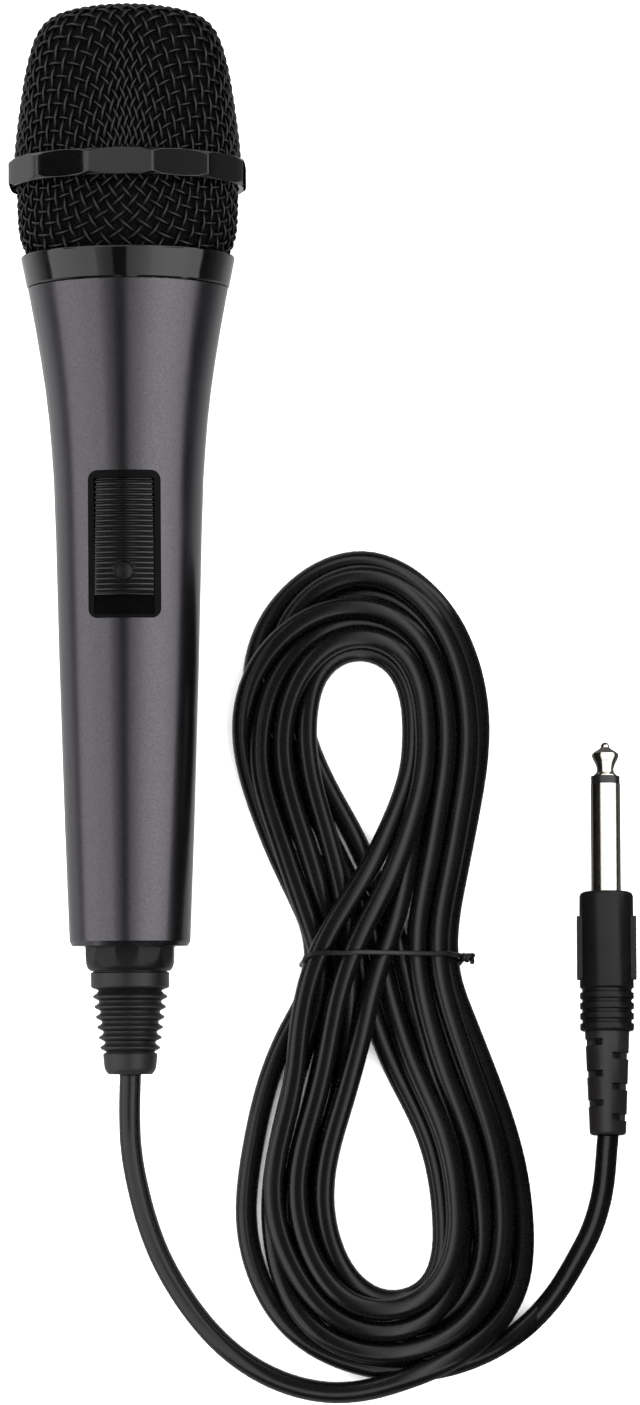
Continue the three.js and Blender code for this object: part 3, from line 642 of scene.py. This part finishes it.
def soft_edge_group(limit):
    """Geometry nodes that shade smooth across every edge flatter than limit degrees."""
    group = bpy.data.node_groups.new("soft_edges_%d" % limit, "GeometryNodeTree")
    group.interface.new_socket("Geometry", in_out="INPUT", socket_type="NodeSocketGeometry")
    group.interface.new_socket("Geometry", in_out="OUTPUT", socket_type="NodeSocketGeometry")
    entry = group.nodes.new("NodeGroupInput")
    leave = group.nodes.new("NodeGroupOutput")
    angle = group.nodes.new("GeometryNodeInputMeshEdgeAngle")
    flat = group.nodes.new("FunctionNodeCompare")
    flat.operation = "LESS_THAN"
    flat.inputs[1].default_value = math.radians(limit)
    faces = group.nodes.new("GeometryNodeSetShadeSmooth")
    edges = group.nodes.new("GeometryNodeSetShadeSmooth")
    edges.domain = "EDGE"
    faces.inputs["Shade Smooth"].default_value = True
    for source, target in ((angle.outputs["Unsigned Angle"], flat.inputs[0]),
                           (entry.outputs[0], faces.inputs["Geometry"]),
                           (faces.outputs[0], edges.inputs["Geometry"]),
                           (flat.outputs[0], edges.inputs["Shade Smooth"]),
                           (edges.outputs[0], leave.inputs[0])):
        group.links.new(source, target)
    return group


SOFT_EDGES = soft_edge_group(SMOOTH_BELOW)


def soften(thing, edge_mm=0):
    """Smooth shading over flat angles, and small rounded edges where edge_mm is given."""
    weld = thing.modifiers.new("weld", "WELD")
    weld.merge_threshold = WELD_GAP
    if edge_mm:
        bevel = thing.modifiers.new("edges", "BEVEL")
        bevel.width = edge_mm * MM
        bevel.segments = BEVEL_SEGMENTS
        bevel.limit_method = "ANGLE"
        bevel.angle_limit = math.radians(BEVEL_ABOVE)
        bevel.use_clamp_overlap = True
    shade = thing.modifiers.new("shade", "NODES")
    shade.node_group = SOFT_EDGES
    if edge_mm:
        weighted = thing.modifiers.new("flat_faces", "WEIGHTED_NORMAL")
        weighted.mode = "FACE_AREA"
        weighted.weight = 100
        weighted.keep_sharp = True


for piece_name, piece in NODES.items():
    soften(piece, EDGE_WIDTHS.get(piece_name, 0))

# ---------------- the woven grille
# A flat net, drawn out beyond the dome's flat cap and bunched between its diagonals; pitches in mm.
WIRE_R, WIRE_SIDES, WIRE_STEP = 0.28, 8, 0.5
CRIMP = 0.92 * WIRE_R
SHORTEST_WIRE = 4   # points
PITCH, SKIRT_PITCH = 2.6, 2.35
FLAT_CAP, DRAWN = 17.0, 1.15
BUNCHED_FROM, BUNCHED_OVER, BUNCHING = 12.0, 14.0, 0.38
NET_SIZE = 24
NET_TURN = math.radians(48)
DOME_PROFILE = [(0, 202.2), (8, 201.8), (13, 200.9), (16.2, 199.8), (18.4, 198), (20.14, 195),
                (21.95, 188.5), (23.03, 182), (23.9, 175.5), (24.42, 170), (24.42, 166), (24.42, 155)]
SKIRT_PROFILE = [(21.6, 144), (21.7, 146.4), (21.85, 148.2), (22.75, 150.2), (23.45, 152.8),
                 (23.75, 156), (23.87, 160), (23.87, 165.2), (23.87, 170)]
DOME_LOW, DOME_HIGH = 166.6, 210
SKIRT_LOW, SKIRT_HIGH = 146.7, 164.9
SKIRT_MIDDLE = 155.5
SKIRT_STRETCH = 1.08


class Bowl:
    """A surface of revolution, known by the run along its profile."""

    def __init__(self, profile, inward):
        line = catmull([(r, 0, w) for r, w in profile], 0.2)[:, [0, 2]]
        along = np.gradient(line, axis=0)
        along /= np.linalg.norm(along, axis=1)[:, None]
        outward = np.stack([-along[:, 1], along[:, 0]], 1)
        outward *= np.sign(outward[-1, 0])
        self.run = np.r_[0, np.cumsum(np.linalg.norm(np.diff(line, axis=0), axis=1))]
        self.line = line - inward * outward
        self.line[0, 0] = max(self.line[0, 0], 0)
        self.outward = outward

    def turned(self, table, s, turn):
        """The table's row at run s, turned about the axis."""
        r = np.interp(s, self.run, table[:, 0])
        return np.array([r * math.sin(turn), np.interp(s, self.run, table[:, 1]), r * math.cos(turn)])

    def point(self, s, turn):
        return self.turned(self.line, s, turn)

    def normal(self, s, turn):
        return self.turned(self.outward, s, turn)


NET_RANGE = range(-NET_SIZE, NET_SIZE + 1)
FLAT_NET = [((i, j), math.hypot(i, j), math.atan2(j, i)) for i in NET_RANGE for j in NET_RANGE]


def dome_net(bowl):
    """Crossings (s, turn) of a flat mesh pressed over the bowl from its pole."""
    net = {}
    for cell, flat, turn in FLAT_NET:
        flat *= PITCH
        s = flat + (DRAWN - 1) * max(0, flat - FLAT_CAP)
        if s < bowl.run[-1]:
            bunched = BUNCHING * min(1.0, max(0, s - BUNCHED_FROM) / BUNCHED_OVER)
            net[cell] = (s, turn + bunched / 4 * math.sin(4 * turn))
    return net


def skirt_net(bowl):
    """Crossings (s, turn) of a flat ring of mesh drawn up round the bowl."""
    middle_s = np.interp(SKIRT_MIDDLE, bowl.line[:, 1], bowl.run)
    middle_r = np.interp(SKIRT_MIDDLE, bowl.line[:, 1], bowl.line[:, 0])
    net = {}
    for cell, flat, turn in FLAT_NET:
        s = middle_s + (flat * SKIRT_PITCH - middle_r) * SKIRT_STRETCH
        if 0 < s < bowl.run[-1]:
            net[cell] = (s, turn)
    return net


def wire_runs(net, family, fixed):
    """Stretches of neighbouring crossings along one wire."""
    runs, run = [], []
    for moving in range(-NET_SIZE, NET_SIZE + 2):
        cell = (moving, fixed) if family == 0 else (fixed, moving)
        if cell in net:
            run.append(((moving + fixed + family) % 2, net[cell]))
        else:
            if len(run) > 2:
                runs.append(run)
            run = []
    return runs


def woven_piece(name, bowl, net, low, high, replaced):
    """Two families of crimped wires over and under each other, kept between low and high."""
    points, faces, lifted = [], [], []
    count = 0
    for run in [run for family in (0, 1) for fixed in NET_RANGE for run in wire_runs(net, family, fixed)]:
        places = [(s, turn + NET_TURN) for _, (s, turn) in run]
        normals = np.array([bowl.normal(*place) for place in places])
        lifts = np.array([CRIMP if over else -CRIMP for over, _ in run])
        knots = np.array([bowl.point(*place) for place in places]) + lifts[:, None] * normals
        line = catmull(np.c_[knots, lifts, normals], WIRE_STEP)
        inside = (line[:, 1] > low) & (line[:, 1] < high)
        ends = np.flatnonzero(np.diff(np.r_[0, inside.astype(int), 0]))
        for first, last in zip(ends[::2], ends[1::2]):
            if last - first < SHORTEST_WIRE:
                continue
            part = np.array([mic(*p) for p in line[first:last, :3]])
            up = np.array([g[0] * ACROSS + g[1] * ALONG + g[2] * TOPWARD for g in line[first:last, 4:]])
            new_points, new_faces = tube(part, WIRE_R, WIRE_SIDES, up)
            faces += [tuple(v + count for v in face) for face in new_faces]
            points.append(new_points)
            lifted.append(np.repeat(line[first:last, 3] / CRIMP, WIRE_SIDES))
            count += len(new_points)
    thing = mesh_object(name, np.vstack(points), faces)
    # The lift is the crimp height, which the wire material turns into painted shade and highlight.
    thing.data.attributes.new("lift", "FLOAT", "POINT").data.foreach_set("value", np.concatenate(lifted))
    return new_piece(thing, "mesh_wire", "head", replaced)


dome_bowl = Bowl(DOME_PROFILE, 2 * WIRE_R)
woven_piece("grille_dome_weave", dome_bowl, dome_net(dome_bowl), DOME_LOW, DOME_HIGH, "grille_dome")
skirt_bowl = Bowl(SKIRT_PROFILE, 2 * WIRE_R)
woven_piece("grille_skirt_weave", skirt_bowl, skirt_net(skirt_bowl), SKIRT_LOW, SKIRT_HIGH, "grille_skirt")

# ---------------- turned pieces of the mic and plug
PLUG_X, PLUG_Z, PLUG_SHOULDER = 101.85, 5.8, -75.5


def plug_around(r, along, angle):
    """A point at radius r and along mm in front of the plug's shoulder; angle 0 is up, pi / 2 is +X."""
    return np.array([PLUG_X + r * math.sin(angle), PLUG_SHOULDER + along, PLUG_Z + r * math.cos(angle)])


def turned_piece(name, slot, place, profile, replaced=(), shape=None, sides=96, body="handle"):
    """A closed ring turned from a closed loop of (along, radius); shape(along, radius, turn) may cut it."""
    turns = np.linspace(0, 2 * math.pi, sides, endpoint=False)
    points = [place(shape(w, r, t) if shape else r, w, t) for t in turns for w, r in profile]
    size, total = len(profile), len(profile) * sides
    faces = [((k * size + c) % total, (k * size + (c + 1) % size) % total,
              ((k + 1) * size + (c + 1) % size) % total, ((k + 1) * size + c) % total)
             for k in range(sides) for c in range(size)]
    thing = new_piece(mesh_object(name, points, faces), slot, body, *replaced)
    soften(thing)
    return thing


# Thin foam behind each mesh, so that no light shows through at the grille's edge.
LINING_DEEP, LINING_THICK, LINING_CLEAR, LINING_HIGH = 1.25, 0.15, 0.02, 161.8
for name, profile, low, high in (("grille_dome_lining", DOME_PROFILE, DOME_LOW, DOME_HIGH),
                                 ("grille_skirt_lining", SKIRT_PROFILE, SKIRT_LOW, LINING_HIGH)):
    bowl = Bowl(profile, LINING_DEEP)
    kept = (bowl.line[:, 1] > low) & (bowl.line[:, 1] < high)
    outer = bowl.line[kept][::3]
    inner = outer - LINING_THICK * bowl.outward[kept][::3]
    turned_piece(name, "black_foam", mic_around,
                 [(w, max(r, LINING_CLEAR)) for r, w in np.vstack([outer, inner[::-1]])], body="head")

COLLAR_OUTLINE = [
    (141.3, 18.8), (141.3, 21.5), (141.6, 21.75), (143.8, 22.2), (147.4, 22.93), (147.62, 22.93),
    (147.8, 22.86), (147.93, 22.72), (148.0, 22.5), (148.0, 22.15), (146.1, 22.15), (146.1, 18.8)]
turned_piece("grille_collar_turned", "black_gloss", mic_around, COLLAR_OUTLINE, ["grille_collar"], sides=192,
             body="head")

THREAD_LEAD, THREAD_DEPTH, THREAD_R = 1.25, 0.55, 18.7
THREAD_LOW, THREAD_HIGH = 141.5, 146.9
THREAD_STEEP = 3.2
NECK_OUTLINE = [(133.5, 14.0), (133.5, 18.37), (140.9, 19.72), (141.1, THREAD_R)]
NECK_OUTLINE += [(w, THREAD_R) for w in np.arange(141.4, 147.0, 0.15)]
NECK_OUTLINE += [(147.2, THREAD_R - 0.5), (147.2, 15.6), (135.5, 15.6), (135.5, 14.0)]


def threaded(w, r, turn):
    """The single-start thread that the grille screws on, cut into the neck."""
    if r < THREAD_R or not THREAD_LOW < w < THREAD_HIGH:
        return r
    wave = (w / THREAD_LEAD - turn / (2 * math.pi)) % 1
    return r - THREAD_DEPTH * min(1.0, THREAD_STEEP * abs(wave - 0.5))


turned_piece("neck_insert_threaded", "zinc", mic_around, NECK_OUTLINE, ["neck_insert"], threaded)

SEAL_OUTLINE = [(-5.32, 5.1), (-5.32, 7.9), (-5.53, 7.9), (-5.53, 5.1)]
turned_piece("boot_seal", "black_rubber", mic_around, SEAL_OUTLINE)

CAP_SIDES, CAP_FLAT = 12, 9.36
CAP_SEEN_BELOW, CAP_BORE = -0.3, 6
CAP_OUTLINE = [
    (4.5, 5.2), (4.5, 11.1), (2.1, 11.1), (2.0, 9.7), (-0.2, 9.7), (-0.3, 9.85), (-0.9, 9.8),
    (-1.8, 9.72), (-2.8, 9.6), (-3.6, 9.45), (-4.3, 9.25), (-4.8, 9.0), (-5.1, 8.75), (-5.3, 8.4),
    (-5.3, 5.2)]


def cap_flats(w, r, turn):
    """Twelve flats on the visible part of the tail cap."""
    if w > CAP_SEEN_BELOW or r < CAP_BORE:
        return r
    step = 2 * math.pi / CAP_SIDES
    return min(r, CAP_FLAT / math.cos((turn + step / 2) % step - step / 2))


turned_piece("tail_cap_turned", "black_plastic", mic_around, CAP_OUTLINE, ["tail_cap"], cap_flats, 144)

BOOT_RIBS, RIB_PITCH, FIRST_RIB = 6, 2.18, -10.7
FIRST_CREST, CREST_STEP = 7.95, 0.31
BOOT_END_FROM = -22.7
RIB_OUTLINE = [(0.55, -0.75), (0.2, -0.15), (0.05, 0), (-0.2, 0), (-0.4, -0.15), (-0.75, -0.85),
               (-0.95, -1.22), (-1.25, -1.3)]
BOOT_HEAD = [(6.2, 2.45), (6.2, 7.0), (4.7, 7.0), (4.7, 5.0), (-5.55, 5.0), (-5.55, 8.1), (-5.8, 8.38),
             (-8.6, 8.38), (-8.95, 8.15), (-9.35, 7.0), (-9.6, 6.75)]
BOOT_END = [(-22.75, 5.25), (-22.95, 5.7), (-23.2, 5.82), (-25.9, 5.55), (-26.6, 5.3), (-27.2, 4.85),
            (-27.4, 4.6), (-27.4, 2.45)]
boot_ribs = [(FIRST_RIB - RIB_PITCH * k + along, FIRST_CREST - CREST_STEP * k + rise)
             for k in range(BOOT_RIBS) for along, rise in RIB_OUTLINE]
boot_outline = [p for p in BOOT_HEAD + boot_ribs if p[0] > BOOT_END_FROM] + BOOT_END
turned_piece("cord_boot_turned", "black_rubber", mic_around, boot_outline, ["cord_boot"])

LEFT_SLOTS, RIGHT_SLOTS = (-32.4, -39.1, -45.4), (-35.3, -41.9, -48.4)
SLOT_HALF, SLOT_DEEP_R = 0.72, 2.75
SLOT_FROM, SLOT_TO, NOTCH_TO = math.radians(14), math.radians(66), math.radians(110)
NOTCH_DEPTH = 0.4
PLUG_BOOT_BORE = 3
WALL_HALF = 0.02
PLUG_BOOT_FROM, PLUG_BOOT_R, PLUG_BOOT_TAPER = -30.1, 4.75, 0.85 / 21.5


def boot_slots(along, r, turn):
    """Relief slots cut from the left and the right by turns."""
    if r < PLUG_BOOT_BORE:
        return r
    turn = (turn + math.pi) % (2 * math.pi) - math.pi
    slots = RIGHT_SLOTS if turn > 0 else LEFT_SLOTS
    if not any(abs(along - slot) < SLOT_HALF for slot in slots) or not SLOT_FROM < abs(turn) < NOTCH_TO:
        return r
    return SLOT_DEEP_R if abs(turn) < SLOT_TO else r - NOTCH_DEPTH


slot_walls = sorted((slot + side * (SLOT_HALF + edge) for slot in LEFT_SLOTS + RIGHT_SLOTS
                     for side in (-1, 1) for edge in (-WALL_HALF, WALL_HALF)), reverse=True)
plug_boot_outline = [(-29.75, 2.45), (-29.75, 4.6), (PLUG_BOOT_FROM, PLUG_BOOT_R)]
plug_boot_outline += [(along, PLUG_BOOT_R - PLUG_BOOT_TAPER * (PLUG_BOOT_FROM - along))
                      for along in slot_walls]
plug_boot_outline += [(-51.6, 3.9), (-52.0, 3.6), (-52.1, 3.3), (-52.1, 2.45)]
plug_boot = turned_piece("plug_boot_turned", "black_rubber", plug_around, plug_boot_outline,
                         ["plug_boot"], boot_slots, 144)

PLUG_TIP_OUTLINE = [
    (25.0, 0.9), (25.0, 2.5), (25.25, 2.5), (25.4, 2.3), (25.8, 1.95), (26.3, 1.8), (26.8, 1.82),
    (27.6, 2.1), (28.4, 2.5), (29.1, 2.84), (29.5, 2.92), (29.9, 2.82), (30.3, 2.35), (30.7, 1.7),
    (31.0, 1.2), (31.25, 0.98), (31.55, 0.95), (31.85, 0.86), (32.15, 0.62), (32.35, 0.3), (32.4, 0.0),
    (26.0, 0.0)]
plug_tip = turned_piece("plug_tip_turned", "nickel", plug_around, PLUG_TIP_OUTLINE, ["plug_tip"])

# ---------------- the ribbed switch grip
GRIP_HALF, GRIP_LOW, GRIP_HIGH, GRIP_FOOT = 6.3, 74.3, 98.95, 13.55
GRIP_MIDDLE, GRIP_SIDE = 6.0, 6.2
EDGE_FROM, EDGE_WIDE, EDGE_DROP = 6.1, 0.2, 0.12
GRIP_TOP, GRIP_ARC = 16.75, 13.0
GRIP_RIB, RIB_DEPTH, RIBS_SHARP = 1.12, 0.52, 1.6
DIMPLE_W, DIMPLE_R, DIMPLE_DEPTH, DIMPLE_SLOPE = 79.3, 2.2, 1.5, 0.16


def grip_height(x, w):
    """Height of the grip above the mic axis: ribs across a shallow arc, with one round dimple."""
    wave = 0.5 + 0.5 * math.cos(2 * math.pi * (w - GRIP_LOW - GRIP_RIB / 2) / GRIP_RIB)
    down = RIB_DEPTH * (1 - wave ** RIBS_SHARP)
    near = math.hypot(x, w - DIMPLE_W) / DIMPLE_R
    if near < 1:
        down = DIMPLE_DEPTH * min(1.0, (1 - near) / DIMPLE_SLOPE)
    edge = EDGE_DROP * max(0.0, (abs(x) - EDGE_FROM) / EDGE_WIDE)
    return GRIP_TOP - GRIP_ARC + math.sqrt(GRIP_ARC ** 2 - x ** 2) - down - edge


grip_x = np.r_[-GRIP_HALF, -GRIP_SIDE, np.linspace(-GRIP_MIDDLE, GRIP_MIDDLE, 49), GRIP_SIDE, GRIP_HALF]
grip_w = np.linspace(GRIP_LOW, GRIP_HIGH, 221)
rows, columns = len(grip_w), len(grip_x)
rim = ([(0, c) for c in range(columns)] + [(r, columns - 1) for r in range(1, rows)]
       + [(rows - 1, c) for c in range(columns - 2, -1, -1)] + [(r, 0) for r in range(rows - 2, 0, -1)])
foot = rows * columns
grip_points = [mic(x, w, grip_height(x, w)) for w in grip_w for x in grip_x]
grip_points += [mic(grip_x[c], grip_w[r], GRIP_FOOT) for r, c in rim]
grip_faces = quad_grid(rows, columns)
for k, (r, c) in enumerate(rim):
    after = (k + 1) % len(rim)
    grip_faces.append((r * columns + c, foot + k, foot + after, rim[after][0] * columns + rim[after][1]))
grip_faces.append(tuple(foot + k for k in range(len(rim))))
soften(new_piece(mesh_object("switch_grip", grip_points, grip_faces), "black_plastic", "slider",
                 "switch_slider", finish="grip_plastic"))

# ---------------- the lead and its tie
new_piece(cord, "cord_jacket", "handle", "cord_lead_mic", "cord_hank", "cord_lead_plug")

TIE_POINTS, TIE_SIDES, TIE_STEP = 96, 10, 0.35
TIE_START = math.radians(12)
TIE_CLEAR = CORD_R + 1.02 * TIE_R
TIE_WAVES = ((0.7, 1, 0.0), (0.4, 2, 0.6))   # mm, waves on the way round, phase
TIE_DROP, TIE_DROP_SHARP = 1.3, 6
TAIL_AXIS = (0.88, -0.18, 0.42)
TAIL_ROOT, TAIL_LENGTHS = 0.6, (2.4, 2.0)
TAIL_POINTS, TAIL_TURNS = 24, 1.1
SPLAY_FROM, SPLAY = 0.8, 2.5


def tie_lean(turn):
    """How far the tie strays along the hank on its way round, and how its left end leans down."""
    waves = sum(size * math.sin(times * turn + phase) for size, times, phase in TIE_WAVES)
    return waves - TIE_DROP * max(0.0, -math.cos(turn)) ** TIE_DROP_SHARP


crossings = []
for k in np.flatnonzero(np.diff(np.sign(cord_path[:, 1] - TIE_Y))):
    if HANK_LEFT < cord_path[k, 0] < HANK_RIGHT:
        share = (TIE_Y - cord_path[k, 1]) / (cord_path[k + 1, 1] - cord_path[k, 1])
        crossings.append(cord_path[k] + share * (cord_path[k + 1] - cord_path[k]))
crossings = np.array(crossings)[:, [0, 2]]
loop = []
for turn in np.linspace(TIE_START, TIE_START + 2 * math.pi, TIE_POINTS):
    way = np.array([math.cos(turn), math.sin(turn)])
    x, z = crossings[np.argmax(crossings @ way)] + TIE_CLEAR * way
    loop.append((x, TIE_Y + tie_lean(turn), max(z, TIE_R)))
loop = np.array(loop)
tail_axis = unit(TAIL_AXIS)
tail_side = unit(np.cross(tail_axis, (0, 0, 1)))
tail_up = np.cross(tail_side, tail_axis)


def twisted_tail(start, length):
    """One strand of the twisted ends, winding round the tail's axis."""
    out = []
    for k in range(1, TAIL_POINTS + 1):
        share = k / TAIL_POINTS
        turn = start + share * TAIL_TURNS * 2 * math.pi
        spread = TIE_R * (1.0 if share < SPLAY_FROM else 1.0 + SPLAY * (share - SPLAY_FROM))
        out.append(loop[0] + tail_axis * (TAIL_ROOT + length * share)
                   + spread * (math.cos(turn) * tail_side + math.sin(turn) * tail_up))
    return out


wire = np.vstack([twisted_tail(0.0, TAIL_LENGTHS[0])[::-1], loop, twisted_tail(math.pi, TAIL_LENGTHS[1])])
tie = new_piece(mesh_object("cord_tie_wire", *tube(catmull(wire, TIE_STEP), TIE_R, TIE_SIDES)),
                "tie_plastic", "handle", "cord_tie")

# ---------------- floor and studio
FLOOR_HALF = 6000
ONE_QUAD = [(0, 1, 2, 3)]


def level(x0, x1, y0, y1, z):
    """The corners of a card that lies flat at height z."""
    return [(x0, y0, z), (x1, y0, z), (x1, y1, z), (x0, y1, z)]


def standing(y0, y1, x0, z0, x1, z1):
    """The corners of a card along y from y0 to y1, with its foot at (x0, z0) and its top at (x1, z1)."""
    return [(x0, y0, z0), (x0, y1, z0), (x1, y1, z1), (x1, y0, z1)]


floor = mesh_object("floor", level(-FLOOR_HALF, FLOOR_HALF, -FLOOR_HALF, FLOOR_HALF, 0), ONE_QUAD)
pale = finish_material("lit_floor", (0.86, 0.86, 0.86), (0.90, 0.90, 0.90), (0.85, 0.95), 300, 6,
                       depth=0.0, specular=0.0)
floor.data.materials.append(pale)

LIGHT = 3.6
BRIGHTEST = 2.5     # the strength that a card's ramp calls 1
world = bpy.data.worlds.new("studio")
world.use_nodes = True
set_inputs(world.node_tree.nodes["Background"], {"Color": (1, 1, 1, 1), "Strength": LIGHT})
bpy.context.scene.world = world


def card_material(name, stops, place):
    """A card glowing by stops (place, strength); place(tree) gives where along them each point is."""
    made, tree, shader = new_material(name)
    low, high = stops[0][0], stops[-1][0]
    glow = tree.nodes.new("ShaderNodeValToRGB")
    while len(glow.color_ramp.elements) < len(stops):
        glow.color_ramp.elements.new(0.5)
    for element, (at, strength) in zip(glow.color_ramp.elements, stops):
        element.position = (at - low) / (high - low)
        element.color = (*[strength / BRIGHTEST] * 3, 1)
    tree.links.new(ramp(tree, place(tree), low, high, 0, 1), glow.inputs["Fac"])
    tree.links.new(glow.outputs["Color"], shader.inputs["Emission Color"])
    set_inputs(shader, {"Emission Strength": BRIGHTEST, "Base Color": (0, 0, 0, 1),
                        "Specular IOR Level": 0, "Roughness": 1})
    return made


def split_place(tree):
    """The point in the object's own metres, as its x, y and z."""
    split = tree.nodes.new("ShaderNodeSeparateXYZ")
    tree.links.new(object_place(tree), split.inputs["Vector"])
    return split


def maths(tree, operation, *values):
    """One sum on numbers or on other nodes' outputs."""
    node = tree.nodes.new("ShaderNodeMath")
    node.operation = operation
    for socket, value in zip(node.inputs, values):
        if isinstance(value, float):
            socket.default_value = value
        else:
            tree.links.new(value, socket)
    return node.outputs["Value"]


def across_mm(tree):
    """The object's own x in mm."""
    return maths(tree, "MULTIPLY", split_place(tree).outputs["X"], 1 / MM)


def round_degrees(tree):
    """The turn about the object's own y axis from straight up, in degrees, right side positive."""
    split = split_place(tree)
    return maths(tree, "DEGREES", maths(tree, "ARCTAN2", split.outputs["X"], split.outputs["Z"]))


def reflected_card(name, points, faces=ONE_QUAD, stops=((0, 0), (1, 0)), place=across_mm):
    """A studio card that only reflections see, black unless stops are given."""
    card = mesh_object(name, points, faces, smooth=False)
    card.data.materials.append(card_material(name, stops, place))
    card.visible_camera = card.visible_shadow = False
    card.visible_diffuse = card.visible_transmission = False


# Strengths are (place, strength): degrees round the tent, or mm across for the flat cards.
TENT_R, TENT_HALF = 900, 1000
TENT_GLOW = [(-90, 1.8), (-64, 1.75), (-45, 1.5), (-20, 1.5), (0, 1.6), (25, 1.8), (48, 2.15),
             (64, 2.1), (82, 1.7), (90, 1.7)]
# Painted reflection of the floor: reflections see this card instead of the floor, its glow brightest just
# left of the mic and fading to almost black on its right.
PAINTED_FLOOR_REFLECTION = [(-900, .05), (-260, .12), (-130, .45), (-61, .9), (-42, .8), (-31, .7), (0, .6),
                   (31, .55), (42, .6), (61, .28), (104, .10), (220, .01), (900, .01)]
SLIT_Z = 90
SLIT_GLOW = [(-33, .95), (-22, .55), (-12.4, .42), (-12, 0), (2.8, 0), (3.2, .8), (14, 1.0), (33, 1.6)]
HANK_GLOW = [(26, .05), (46, .08), (55, 1.3), (60, 2.2), (65, 1.3), (75, .08), (86, .05)]
HANK_Y, HANK_CARD_Z = (-186, 4), 26
WALL_FOOT, WALL_X = 0.3, 125
WALLS = (("studio_wall_plug", WALL_X, (-112, -74), 24), ("studio_wall_sleeve", WALL_X, (-74, 20), 8.4),
         ("studio_wall_low", WALL_X, (-240, -112), 95), ("studio_wall_hank", 86.5, HANK_Y, HANK_CARD_Z))
RING_Y = (66, 92)
RING_TOP_GLOW = [(-24, 1.0), (24, .9)]
RING_RIGHT_GLOW = [(55, .2), (72, .4)]

arch = [(TENT_R * math.sin(t), TENT_R * math.cos(t)) for t in np.radians(np.linspace(-90, 90, 37))]
reflected_card("studio_tent", [(x, y, z) for y in (-TENT_HALF, TENT_HALF) for x, z in arch],
               quad_grid(2, len(arch)), TENT_GLOW, round_degrees)
for name, y in (("studio_end_low", -TENT_HALF), ("studio_end_high", TENT_HALF)):
    reflected_card(name, [(x, y, z) for x, z in arch], [tuple(range(len(arch)))])
for name, points, stops in (
        ("studio_floor", level(-TENT_R, TENT_R, -TENT_HALF, TENT_HALF, 0.2), PAINTED_FLOOR_REFLECTION),
        ("studio_slit", level(-33, 33, -170, 64, SLIT_Z), SLIT_GLOW),
        ("studio_hank", level(26, 86, *HANK_Y, HANK_CARD_Z), HANK_GLOW),
        ("studio_ring_top", level(-24, 24, 64, 108, SLIT_Z), RING_TOP_GLOW),
        ("studio_ring_right", standing(*RING_Y, 55, 92, 72, 66), RING_RIGHT_GLOW)):
    reflected_card(name, points, stops=stops)
for name, x, reach, height in WALLS:
    reflected_card(name, standing(*reach, x, WALL_FOOT, x, height))
reflected_card("studio_ring_left", standing(*RING_Y, -62, 60, -72, 88))
# Painted shadow: black cards on the floor beside the grille ring stand in, for the ring's reflections, for
# the shade that the mic casts there.
for name, x in (("studio_ring_floor_left", -42), ("studio_ring_floor_right", 24)):
    reflected_card(name, level(x, x + 18, 68, 92, 0.4))
